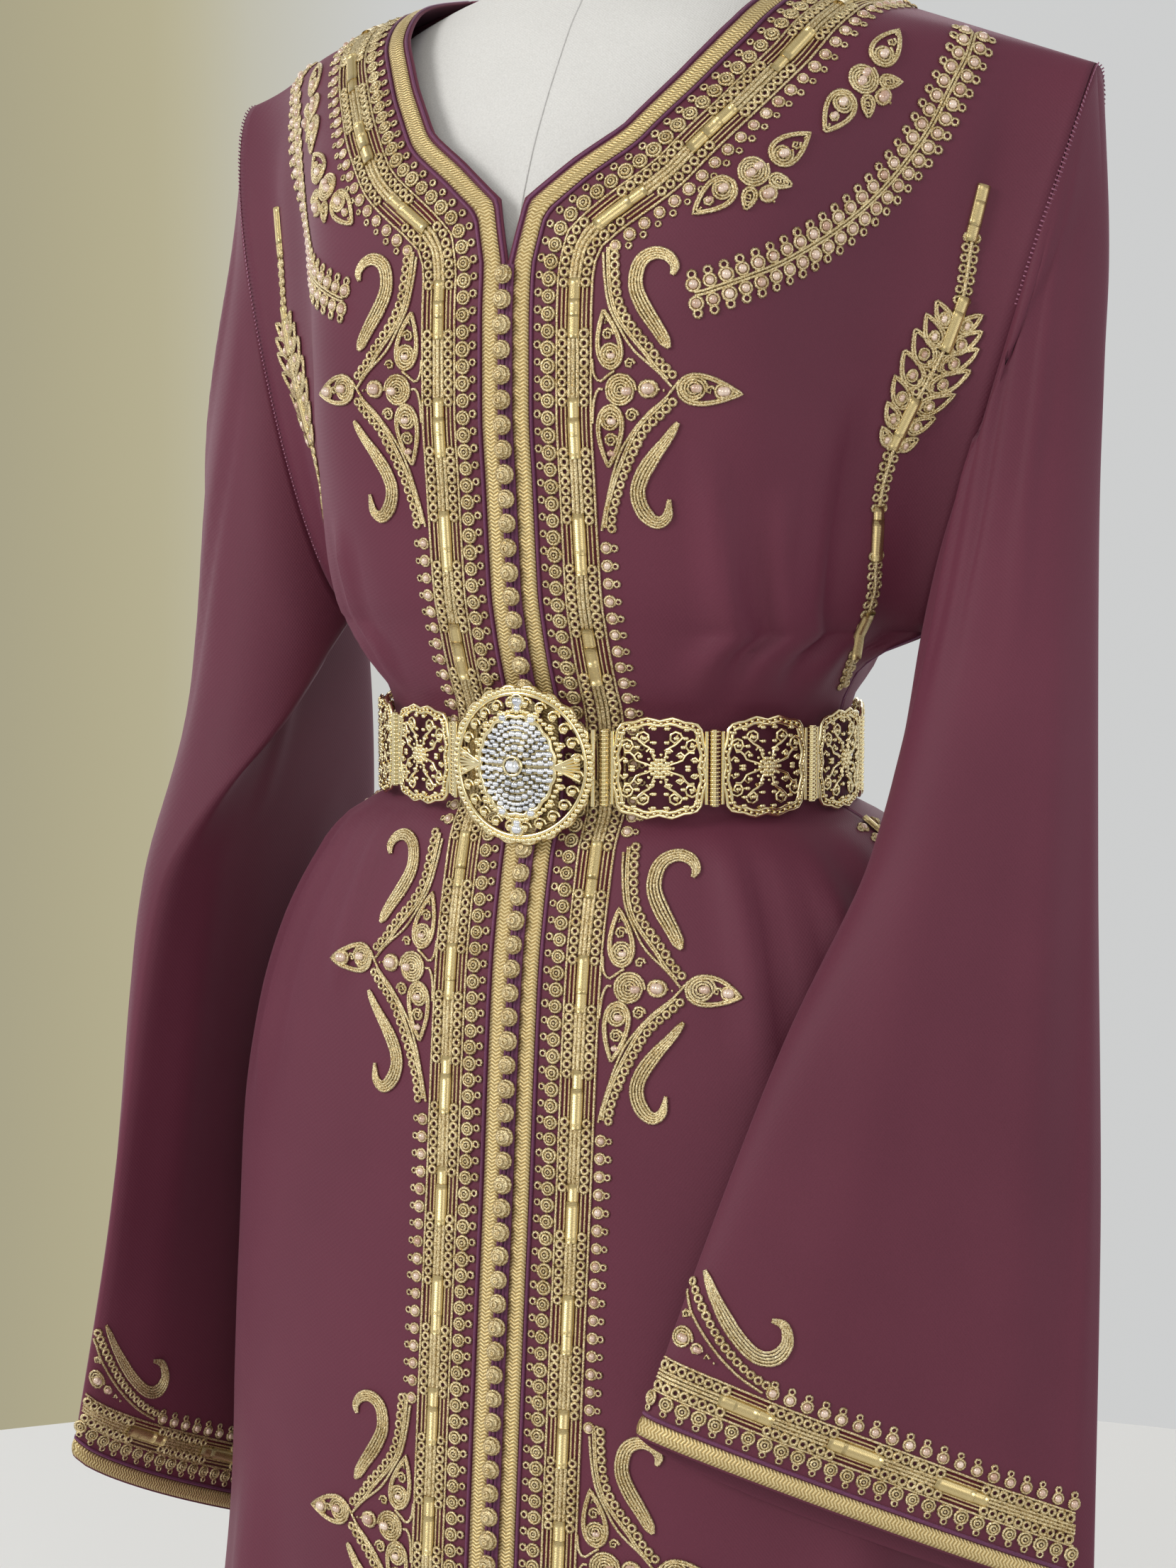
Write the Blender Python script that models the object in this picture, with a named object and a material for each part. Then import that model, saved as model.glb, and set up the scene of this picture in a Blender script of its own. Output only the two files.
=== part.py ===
# Kaftan with braided front, worn on a padded dress form, with a ring belt of metal plates.
# Metres, +Z up. The origin is the centre of the underside of the form's base.
# The garment faces -Y and its wearer's left is +X.

import math
from collections import namedtuple

import bmesh
import bpy
import numpy as np
from mathutils import Vector
from mathutils.bvhtree import BVHTree

# Cloth
WALL = 0.0012  # thickness of the crepe
GAP = 0.0003  # space between pieces that touch
SEAM_PULL = 0.0003  # how far each piece draws back from a seam line
BAND_RAISE = 0.0008  # thick cord embroidery over the crepe

# Distances from the centre opening and neckline
BRAID_INNER = 0.0040
BRAID_OUTER = 0.0134
BAND_INNER = 0.0150
BAND_OUTER = 0.0489
BAND_FOOT = 0.0510
BRAID_THICK = 0.0012
SIDE_COLUMNS = 6  # cloth columns between the band and the side

# Shoulder tip and underarm point of the armhole, and how far it bows
SHOULDER_TIP = (0.2545, 0.015, 1.400)
UNDERARM = (0.177, -0.008, 1.108)
ARMHOLE_DEPTH = 0.032
ARMHOLE_BOW = 0.009

# Opening
CORNER_HEIGHT = 1.330  # corner of the V
TOP_BUTTON = 1.298
SLIT_HALF = 0.0070  # half the slit's width at the corner

Level = namedtuple("Level", "z half front back shift full reach drop arm")

# One row for each level: its height at the centre, half width, depth to the front and the back, how far the
# widest line lies forward, fullness of the curve, how far a web reaches past the half width, how far that
# web's edge drops, and the place on the armhole, from 0 at the underarm to 1 at the shoulder tip.
LEVELS = [
    Level(0.030, 0.286, 0.200, 0.205, 0.000, 2.1, 0.0, 0.0, 0.0),
    Level(0.180, 0.277, 0.192, 0.194, 0.000, 2.1, 0.0, 0.0, 0.0),
    Level(0.340, 0.266, 0.183, 0.180, 0.000, 2.15, 0.0, 0.0, 0.0),
    Level(0.500, 0.252, 0.172, 0.166, 0.000, 2.2, 0.0, 0.0, 0.0),
    Level(0.620, 0.243, 0.163, 0.156, 0.000, 2.2, 0.0, 0.0, 0.0),
    Level(0.730, 0.240, 0.154, 0.146, 0.000, 2.2, 0.0, 0.0, 0.0),
    Level(0.820, 0.233, 0.146, 0.135, 0.001, 2.25, 0.0, 0.0, 0.0),
    Level(0.885, 0.219, 0.141, 0.127, 0.004, 2.25, 0.0, 0.0, 0.0),
    Level(0.935, 0.199, 0.136, 0.118, 0.008, 2.25, 0.0, 0.0, 0.0),
    Level(0.975, 0.176, 0.128, 0.107, 0.011, 2.2, 0.0, 0.0, 0.0),
    Level(1.000, 0.155, 0.121, 0.098, 0.014, 2.2, 0.0, 0.0, 0.0),
    Level(1.014, 0.1325, 0.1140, 0.085, 0.016, 2.0, 0.0, 0.0, 0.0),
    Level(1.040, 0.1290, 0.1130, 0.082, 0.017, 2.0, 0.0, 0.0, 0.0),
    Level(1.066, 0.1315, 0.1160, 0.084, 0.018, 2.0, 0.0, 0.0, 0.0),
    Level(1.083, 0.138, 0.1225, 0.088, 0.021, 2.15, 0.001, 0.001, 0.0),
    Level(1.097, 0.142, 0.128, 0.091, 0.024, 2.2, 0.008, 0.003, 0.0),
    Level(1.106, 0.144, 0.131, 0.092, 0.026, 2.25, 0.019, 0.005, 0.0),
    Level(1.113, 0.1455, 0.133, 0.093, 0.028, 2.3, 0.0315, 0.005, 0.0),
    Level(1.128, 0.147, 0.137, 0.095, 0.030, 2.5, 0.0, 0.0, 0.12),
    Level(1.150, 0.148, 0.1395, 0.098, 0.032, 2.8, 0.0, 0.0, 0.22),
    Level(1.185, 0.147, 0.143, 0.101, 0.038, 3.2, 0.0, 0.0, 0.33),
    Level(1.225, 0.146, 0.147, 0.105, 0.044, 3.5, 0.0, 0.0, 0.43),
    Level(1.265, 0.147, 0.147, 0.108, 0.045, 3.6, 0.0, 0.0, 0.52),
    Level(1.302, 0.150, 0.144, 0.109, 0.042, 3.4, 0.0, 0.0, 0.60),
    Level(1.330, 0.158, 0.1395, 0.109, 0.036, 3.1, 0.0, 0.0, 0.67),
    Level(1.358, 0.168, 0.130, 0.105, 0.028, 2.8, 0.0, 0.0, 0.73),
    Level(1.385, 0.178, 0.115, 0.098, 0.018, 2.6, 0.0, 0.0, 0.79),
    Level(1.410, 0.188, 0.100, 0.088, 0.008, 2.5, 0.0, 0.0, 0.85),
    Level(1.430, 0.196, 0.088, 0.076, 0.002, 2.4, 0.0, 0.0, 0.90),
    Level(1.460, 0.205, 0.056, 0.048, -0.002, 2.2, 0.0, 0.0, 0.96),
    Level(1.4846, 0.212, -0.004, 0.004, -0.004, 2.0, 0.0, 0.0, 1.0),
]
BELT_LEVEL = 13
UNDERARM_LEVEL = 17
CORNER_LEVEL = 24
BACK_NECK_LEVEL = 28

# Rows of points of the fronts and the back, as places in the table above
FRONT_PLACES = [0, 1, 2, 3, 4, 5, 6, 7, 8, 9, 10, 11, 12, 13, 14, 15, 16, 17, 18, 19, 20, 21, 22, 22.8, 23.3,
                24, 24.5, 25, 26, 27, 28, 28.6, 29.1, 29.6, 30]

# How each section is drawn: its steps, the angle where its side starts to turn into a web, and the overhang
# at which that web runs straight out
SECTION_STEPS = 48
WEB_START = math.radians(60)
WEB_FULL = 0.03

# Widest reach of the embroidery band along a row, and halvings of the search for its columns
BAND_REACH = 0.09
BAND_SHARE = 0.92
HALVINGS = 24

# The back's columns turn from even steps to the shoulder's steps between these places
BACK_EVEN_PLACE = 22
BACK_SHOULDER_PLACE = 28

# Neckline of the fronts and of the back: half width and height
FRONT_NECK = [(0.007, 1.330), (0.032, 1.350), (0.054, 1.365), (0.075, 1.392), (0.094, 1.420), (0.102, 1.437),
              (0.105, 1.452)]
BACK_NECK = [(0.0, 1.430), (0.055, 1.434), (0.088, 1.443), (0.105, 1.452)]

Fold = namedtuple("Fold", "face side arc spread low high peak out")

# The largest soft folds: which face and side, their place from centre 0 to side 1, half width as a part of
# the face, the heights they start, end and peak at, and how far they stand out.
FOLDS = [
    Fold("front", 1, 0.47, 0.050, 1.068, 1.250, 1.095, 0.0050),
    Fold("front", 1, 0.66, 0.055, 1.068, 1.220, 1.100, 0.0055),
    Fold("front", 1, 0.83, 0.045, 1.068, 1.190, 1.095, 0.0045),
    Fold("front", -1, 0.62, 0.050, 1.068, 1.200, 1.095, 0.0045),
    Fold("front", -1, 0.80, 0.050, 1.068, 1.230, 1.100, 0.0055),
    Fold("front", -1, 0.55, 0.050, 0.800, 1.012, 0.985, 0.0045),
    Fold("front", -1, 0.78, 0.055, 0.740, 1.012, 0.980, 0.0060),
    Fold("front", 1, 0.60, 0.050, 0.820, 1.012, 0.985, 0.0040),
    Fold("front", 1, 0.84, 0.055, 0.760, 1.012, 0.980, 0.0055),
    Fold("back", 1, 0.16, 0.060, 1.068, 1.230, 1.100, 0.0050),
    Fold("back", 1, 0.46, 0.055, 1.068, 1.260, 1.100, 0.0055),
    Fold("back", 1, 0.76, 0.055, 1.068, 1.200, 1.095, 0.0050),
    Fold("back", -1, 0.30, 0.060, 1.068, 1.240, 1.100, 0.0055),
    Fold("back", -1, 0.62, 0.055, 1.068, 1.210, 1.095, 0.0050),
    Fold("back", 1, 0.24, 0.060, 0.620, 1.012, 0.975, 0.0065),
    Fold("back", 1, 0.58, 0.055, 0.700, 1.012, 0.980, 0.0055),
    Fold("back", -1, 0.12, 0.060, 0.640, 1.012, 0.975, 0.0060),
    Fold("back", -1, 0.46, 0.060, 0.600, 1.012, 0.975, 0.0070),
    Fold("back", -1, 0.80, 0.055, 0.720, 1.012, 0.980, 0.0055),
    Fold("front", 1, 0.42, 0.080, -1.0, 0.560, 0.030, 0.0110),
    Fold("front", 1, 0.78, 0.090, -1.0, 0.660, 0.030, 0.0140),
    Fold("front", -1, 0.36, 0.070, -1.0, 0.500, 0.030, 0.0090),
    Fold("front", -1, 0.70, 0.090, -1.0, 0.680, 0.030, 0.0150),
    Fold("back", 1, 0.20, 0.085, -1.0, 0.700, 0.030, 0.0160),
    Fold("back", 1, 0.55, 0.080, -1.0, 0.580, 0.030, 0.0130),
    Fold("back", 1, 0.86, 0.070, -1.0, 0.460, 0.030, 0.0100),
    Fold("back", -1, 0.30, 0.085, -1.0, 0.640, 0.030, 0.0150),
    Fold("back", -1, 0.66, 0.090, -1.0, 0.720, 0.030, 0.0170),
]

Ring = namedtuple("Ring", "s over_x over_y over_z under_x under_y under_z front back")

# Sleeves, from armhole 0 to cuff 1: the fold over the arm, the fold under it, and how far the front and
# back layers stand off the line between them. X grows away from the body on both sleeves.
SLEEVE_LEFT = [
    Ring(0.00, *SHOULDER_TIP, *UNDERARM, ARMHOLE_DEPTH, ARMHOLE_DEPTH),
    Ring(0.10, 0.2620, 0.008, 1.325, 0.1880, -0.025, 1.0800, 0.034, 0.028),
    Ring(0.20, 0.2660, -0.001, 1.250, 0.1870, -0.052, 1.0400, 0.034, 0.022),
    Ring(0.31, 0.2710, -0.015, 1.168, 0.1785, -0.082, 0.9950, 0.032, 0.016),
    Ring(0.53, 0.2825, -0.040, 0.990, 0.1500, -0.128, 0.9050, 0.028, 0.012),
    Ring(0.77, 0.2940, -0.058, 0.800, 0.1207, -0.155, 0.8063, 0.022, 0.012),
    Ring(1.00, 0.2985, -0.070, 0.620, 0.0940, -0.180, 0.7073, 0.014, 0.010),
]
SLEEVE_RIGHT = [
    Ring(0.00, *SHOULDER_TIP, *UNDERARM, ARMHOLE_DEPTH, ARMHOLE_DEPTH),
    Ring(0.15, 0.2720, 0.042, 1.280, 0.2020, -0.045, 1.050, 0.038, 0.026),
    Ring(0.35, 0.2320, 0.095, 1.070, 0.2544, -0.095, 0.953, 0.040, 0.018),
    Ring(0.60, 0.2420, 0.115, 0.870, 0.2745, -0.105, 0.816, 0.024, 0.012),
    Ring(0.80, 0.2460, 0.122, 0.690, 0.2890, -0.105, 0.731, 0.016, 0.010),
    Ring(1.00, 0.2420, 0.118, 0.512, 0.3188, -0.100, 0.605, 0.013, 0.010),
]
SLEEVE_STEPS = [0.0, 0.07, 0.15, 0.24, 0.34, 0.46, 0.58, 0.70, 0.80, 0.88]  # rings above the cuff band
CUFF_STEPS = [0.052, 0.047, 0.014, 0.0110, 0.0]  # rings of the cuff, as distances from its edge
CUFF_LAP = 0.014  # how much lower the back layer of the cuff hangs
CUFF_LAP_POWER = 6  # how suddenly that starts
CUFF_REACH = 0.06  # part of the sleeve that the cuff's steps are measured over
SLEEVE_NEAR = 0.04  # step either way that gives a ring's direction
SLEEVE_SETTLE = 0.10  # part of the sleeve over which the armhole's shape gives way to its own

# Braid along the back neck: its stations, how far it stands off the cloth, and how far it stops short
NECK_STATIONS = 24
NECK_CLEAR = 0.0006
NECK_END = 0.001

# Buttons
BUTTON_PITCH = 0.0125
BUTTON_COUNT = 100
BUTTON_HALF = 0.0037
BUTTON_RISE = 0.0055
STAND_THICK = 0.0010
STAND_CLEAR = 0.0009

# Belt
BELT_HEIGHT = 1.0400
BELT_SHIFT = -0.0180
BELT_HALF_X = 0.1375  # middle of the metal
BELT_HALF_Y = 0.1105
BELT_METAL = 0.0016
BUCKLE_WIDTH = 0.0830
BUCKLE_TALL = 0.0850
BUCKLE_RISE = 0.0040
BUCKLE_OFF = 0.0050  # how far the buckle stands in front of the plates
PLATE_RISE = 0.0008
PLATE_COUNT = 12
PLATE_TALL = 0.0520
PLATE_POINTS = 24
PLATE_LOBES = 8
PLATE_DIP = 0.06  # how deep the edge dips between its lobes
BUCKLE_POINTS = 32
HINGE_WIDTH = 0.0060
HINGE_TALL = 0.0400

# Dress form
BASE_RADIUS = 0.180
BASE_THICK = 0.018
POST_RADIUS = 0.014
FORM_SIDES = 24
CAP_THICK = 0.012

FormRing = namedtuple("FormRing", "z half front back shift full")
FORM = [
    FormRing(0.760, 0.120, 0.085, 0.080, 0.0, 2.0),
    FormRing(0.768, 0.150, 0.106, 0.100, 0.0, 2.1),
    FormRing(0.840, 0.168, 0.118, 0.114, 0.0, 2.2),
    FormRing(0.900, 0.165, 0.117, 0.110, 0.002, 2.2),
    FormRing(0.960, 0.148, 0.110, 0.098, 0.008, 2.2),
    FormRing(1.000, 0.131, 0.104, 0.086, 0.014, 2.1),
    FormRing(1.040, 0.121, 0.104, 0.077, 0.017, 2.1),
    FormRing(1.090, 0.127, 0.114, 0.081, 0.022, 2.1),
    FormRing(1.150, 0.137, 0.130, 0.090, 0.032, 2.4),
    FormRing(1.210, 0.138, 0.138, 0.098, 0.042, 3.0),
    FormRing(1.265, 0.139, 0.140, 0.102, 0.044, 3.1),
    FormRing(1.315, 0.143, 0.1345, 0.103, 0.038, 2.9),
    FormRing(1.350, 0.150, 0.122, 0.098, 0.028, 2.6),
    FormRing(1.380, 0.156, 0.106, 0.090, 0.018, 2.4),
    FormRing(1.405, 0.154, 0.090, 0.080, 0.006, 2.2),
    FormRing(1.425, 0.138, 0.076, 0.068, 0.000, 2.1),
    FormRing(1.440, 0.112, 0.063, 0.060, -0.002, 2.0),
    FormRing(1.452, 0.080, 0.056, 0.058, -0.004, 2.0),
    FormRing(1.466, 0.062, 0.052, 0.058, -0.004, 2.0),
    FormRing(1.500, 0.056, 0.050, 0.056, -0.004, 2.0),
    FormRing(1.535, 0.055, 0.049, 0.056, -0.004, 2.0),
]

# Colours (red, green, blue), roughness, metallic
PLUM = ((0.155, 0.046, 0.065), 0.75, 0.0)
GOLD_CORD = ((0.52, 0.36, 0.12), 0.45, 0.6)
GOLD_METAL = ((0.80, 0.62, 0.26), 0.25, 1.0)
LINEN = ((0.72, 0.71, 0.69), 0.90, 0.0)
DARK_WOOD = ((0.10, 0.06, 0.035), 0.45, 0.0)
STEEL = ((0.55, 0.55, 0.56), 0.30, 1.0)


def clear_scene():
    for thing in list(bpy.data.objects):
        bpy.data.objects.remove(thing, do_unlink=True)


def make_material(name, look):
    colour, roughness, metallic = look
    material = bpy.data.materials.new(name)
    material.use_nodes = True
    shader = material.node_tree.nodes["Principled BSDF"]
    shader.inputs["Base Color"].default_value = (*colour, 1.0)
    shader.inputs["Roughness"].default_value = roughness
    shader.inputs["Metallic"].default_value = metallic
    material.diffuse_color = (*colour, 1.0)
    return material


def add_object(name, points, faces, look):
    mesh = bpy.data.meshes.new(name)
    mesh.from_pydata([tuple(map(float, p)) for p in points], [], faces)
    mesh.validate()
    shape = bmesh.new()
    shape.from_mesh(mesh)
    bmesh.ops.recalc_face_normals(shape, faces=shape.faces)
    shape.to_mesh(mesh)
    shape.free()
    mesh.materials.append(make_material(name, look))
    mesh.shade_smooth()
    mesh.set_sharp_from_angle(angle=math.radians(40))
    thing = bpy.data.objects.new(name, mesh)
    bpy.context.scene.collection.objects.link(thing)
    return thing


def unit(vector):
    vector = np.asarray(vector, float)
    return vector / max(np.linalg.norm(vector), 1e-12)


def blend(table, place):
    # Reads a table of levels or rings at a place between its rows, smoothly and without overshoot.
    rows = np.array(table, float)
    low = int(min(max(math.floor(place), 0), len(rows) - 2))
    t = place - low
    step = rows[low + 1] - rows[low]
    before = rows[low] - rows[max(low - 1, 0)]
    after = rows[min(low + 2, len(rows) - 1)] - rows[low + 1]
    start = np.where(before * step > 0, 2 * before * step / (before + step + 1e-15), 0.0)
    end = np.where(after * step > 0, 2 * after * step / (after + step + 1e-15), 0.0)
    start = step if low == 0 else start
    end = step if low + 2 >= len(rows) else end
    curve = (rows[low] * (2 * t**3 - 3 * t**2 + 1) + start * (t**3 - 2 * t**2 + t)
             + rows[low + 1] * (3 * t**2 - 2 * t**3) + end * (t**3 - t**2))
    return type(table[0])(*curve)


def armhole_point(arm, face):
    # A point of the armhole: arm runs from underarm 0 to shoulder tip 1, face is -1 in front, 1 behind.
    along = (1 - math.cos(math.pi * arm)) / 2
    swell = math.sin(math.pi * arm)
    base = np.array(UNDERARM) * (1 - along) + np.array(SHOULDER_TIP) * along
    return base + np.array([ARMHOLE_BOW * swell, face * ARMHOLE_DEPTH * swell, 0.0])


def side_point(level, place, face):
    if place > UNDERARM_LEVEL:
        return armhole_point(level.arm, face)
    full_reach = LEVELS[UNDERARM_LEVEL].reach
    web = level.reach / full_reach
    return np.array([level.half + level.reach, -level.shift * (1 - web) + UNDERARM[1] * web,
                     level.z - level.drop])


def fold_out(face, side, arc, z):
    name = "front" if face < 0 else "back"
    total = 0.0
    for fold in FOLDS:
        if fold.face != name or fold.side != side or not fold.low < z < fold.high:
            continue
        reach = (fold.high - fold.peak) if z > fold.peak else (fold.peak - fold.low)
        fade = 0.5 + 0.5 * math.cos(math.pi * min(abs(z - fold.peak) / reach, 1.0))
        total += fold.out * fade * math.exp(-((arc - fold.arc) / fold.spread) ** 2)
    return total


def section(place, face, side=1):
    # The curve of one level, from the centre line to the side, as evenly spaced points.
    level = blend(LEVELS, place)
    depth = (level.front - level.shift) if face < 0 else (level.back + level.shift)
    power = 2.0 / level.full
    end = side_point(level, place, face)

    def body(angle):
        return np.array([level.half * math.sin(angle) ** power,
                         -level.shift + face * depth * max(math.cos(angle), 0.0) ** power])

    angles = np.linspace(1e-4, WEB_START, SECTION_STEPS)
    curve = [body(angle) for angle in angles]
    joint, tangent = curve[-1], unit(curve[-1] - curve[-2])
    reach = np.linalg.norm(end[:2] - joint)
    web = min(max((end[0] - level.half) / WEB_FULL, 0.0), 1.0) if place > BELT_LEVEL else 0.0
    close = unit(np.array([0.0, -face]) * (1 - web) + np.array([1.0, 0.0]) * web)
    for t in np.linspace(0, 1, SECTION_STEPS // 2)[1:]:
        curve.append(joint * (2 * t**3 - 3 * t**2 + 1) + tangent * reach * (t**3 - 2 * t**2 + t)
                     + end[:2] * (3 * t**2 - 2 * t**3) + close * reach * (t**3 - t**2))
    curve = np.array(curve)
    curve[0, 0] = 0.0
    above = min(max((place - CORNER_LEVEL) / (len(LEVELS) - 1 - CORNER_LEVEL), 0.0), 1.0)
    fall = (np.clip(curve[:, 0] / end[0], 0, 1)) ** (2 - above)
    heights = level.z + (end[2] - level.z) * fall
    lengths = np.concatenate([[0], np.cumsum(np.linalg.norm(np.diff(curve, axis=0), axis=1))])
    arcs = lengths / lengths[-1]
    moved = curve.copy()
    for index, (flat, arc) in enumerate(zip(curve, arcs)):
        out = fold_out(face, side, arc, heights[index])
        if out:
            moved[index] += unit([flat[0] / level.half**2, (flat[1] + level.shift) / depth**2]) * out
    return np.column_stack([moved, heights])


def point_at(curve, target):
    lengths = np.concatenate([[0], np.cumsum(np.linalg.norm(np.diff(curve, axis=0), axis=1))])
    return np.array([np.interp(target, lengths, curve[:, axis]) for axis in range(3)])


def curve_length(curve):
    return float(np.linalg.norm(np.diff(curve, axis=0), axis=1).sum())


def edge_start(curve, neck):
    # Where a section crosses a neckline given as half widths and heights.
    widths, heights = zip(*neck)
    lengths = np.concatenate([[0], np.cumsum(np.linalg.norm(np.diff(curve, axis=0), axis=1))])
    for index in range(len(curve) - 1):
        limit = np.interp(curve[index, 2], heights, widths)
        if curve[index, 0] >= limit:
            return lengths[index]
        ahead = np.interp(curve[index + 1, 2], heights, widths)
        if curve[index + 1, 0] >= ahead:
            short = limit - curve[index, 0]
            past = curve[index + 1, 0] - ahead
            return lengths[index] + (lengths[index + 1] - lengths[index]) * short / (short + past + 1e-12)
    return 0.0


def front_opening(place, side):
    # The front panel's inner edge at one level, as a distance along its section.
    curve = section(place, -1, side)
    height = curve[0, 2]
    if place >= CORNER_LEVEL:
        return edge_start(curve, FRONT_NECK)
    if height > TOP_BUTTON:
        return SLIT_HALF * (height - TOP_BUTTON) / (CORNER_HEIGHT - TOP_BUTTON)
    return 0.0


def distance_to(line, spot):
    best = 1e9
    for a, b in zip(line[:-1], line[1:]):
        run = b - a
        t = min(max(np.dot(spot - a, run) / max(np.dot(run, run), 1e-12), 0.0), 1.0)
        best = min(best, np.linalg.norm(spot - a - run * t))
    return best


def front_grid(side):
    # Rows from hem to shoulder, columns at set distances from the opening and neckline, then to the side.
    starts, curves = [], []
    for place in FRONT_PLACES:
        curves.append(section(place, -1, side))
        starts.append(front_opening(place, side))
    edge = np.array([point_at(curve, start) for curve, start in zip(curves, starts)])
    grid = []
    for curve, start in zip(curves, starts):
        total = curve_length(curve)
        row = [point_at(curve, start)]
        place = start
        for distance in (BRAID_INNER, BRAID_OUTER, BAND_INNER, BAND_OUTER, BAND_FOOT):
            low, high = place, min(place + BAND_REACH, total * BAND_SHARE)
            for _ in range(HALVINGS):
                middle = (low + high) / 2
                if distance_to(edge, point_at(curve, middle)) < distance:
                    low = middle
                else:
                    high = middle
            place = (low + high) / 2
            row.append(point_at(curve, place))
        for step in range(1, SIDE_COLUMNS + 1):
            row.append(point_at(curve, place + (total - place) * step / SIDE_COLUMNS))
        grid.append(row)
    grid = np.array(grid)
    grid[:, :, 0] *= side
    return grid


def back_grid(side, shoulder):
    # Rows share their side points with the front's, and the top row is the front's shoulder row.
    columns = len(shoulder)
    top_steps = np.linalg.norm(np.diff(shoulder, axis=0), axis=1)
    top_shares = np.concatenate([[0], np.cumsum(top_steps)]) / top_steps.sum()
    even = np.linspace(0, 1, columns)
    grid = []
    for place in FRONT_PLACES:
        curve = section(place, 1, side)
        start = edge_start(curve, BACK_NECK) if place > BACK_NECK_LEVEL else 0.0
        total = curve_length(curve)
        near_top = (place - BACK_EVEN_PLACE) / (BACK_SHOULDER_PLACE - BACK_EVEN_PLACE)
        near_top = min(max(near_top, 0.0), 1.0)
        shares = even * (1 - near_top) + top_shares * near_top
        grid.append([point_at(curve, start + (total - start) * share) for share in shares])
    grid = np.array(grid)
    grid[:, :, 0] *= side
    grid[-1] = shoulder
    return grid


def sleeve_centre(ring):
    over = np.array([ring.over_x, ring.over_y, ring.over_z])
    under = np.array([ring.under_x, ring.under_y, ring.under_z])
    return (over + under) / 2, (over - under) / 2


def sleeve_ring(table, s):
    stops = [ring.s for ring in table]
    place = float(np.interp(s, stops, range(len(stops))))
    return blend(table, place)


def sleeve_point(table, s, arm, face):
    ring = sleeve_ring(table, s)
    centre, half = sleeve_centre(ring)
    ahead, _ = sleeve_centre(sleeve_ring(table, min(s + SLEEVE_NEAR, 1.0)))
    behind, _ = sleeve_centre(sleeve_ring(table, max(s - SLEEVE_NEAR, 0.0)))
    out = unit(np.cross(unit(ahead - behind), half))
    settle = min(s / SLEEVE_SETTLE, 1.0)
    out = unit(np.array([0.0, -1.0, 0.0]) * (1 - settle) + out * settle)
    swell = math.sin(math.pi * arm)
    depth = ring.front if face < 0 else -ring.back
    spot = centre - half * math.cos(math.pi * arm) + out * depth * swell
    spot[0] += ARMHOLE_BOW * swell * (1 - settle)
    if face > 0:
        spot[2] -= CUFF_LAP * swell * s**CUFF_LAP_POWER
    return spot


def sleeve_grid(table, side, arms):
    # Columns run up the front of the armhole and down its back, rings from the armhole to the cuff.
    columns = [(arm, -1) for arm in arms] + [(arm, 1) for arm in reversed(arms[1:-1])]
    rings = []
    for s in SLEEVE_STEPS:
        rings.append([sleeve_point(table, s, arm, face) for arm, face in columns])
    for distance in CUFF_STEPS:
        ring = []
        for arm, face in columns:
            end = sleeve_point(table, 1.0, arm, face)
            near = sleeve_point(table, 1.0 - CUFF_REACH, arm, face)
            s = 1.0 - CUFF_REACH * distance / np.linalg.norm(end - near)
            ring.append(sleeve_point(table, s, arm, face))
        rings.append(ring)
    grid = np.array(rings)
    grid[:, :, 0] *= side
    return grid


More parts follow.
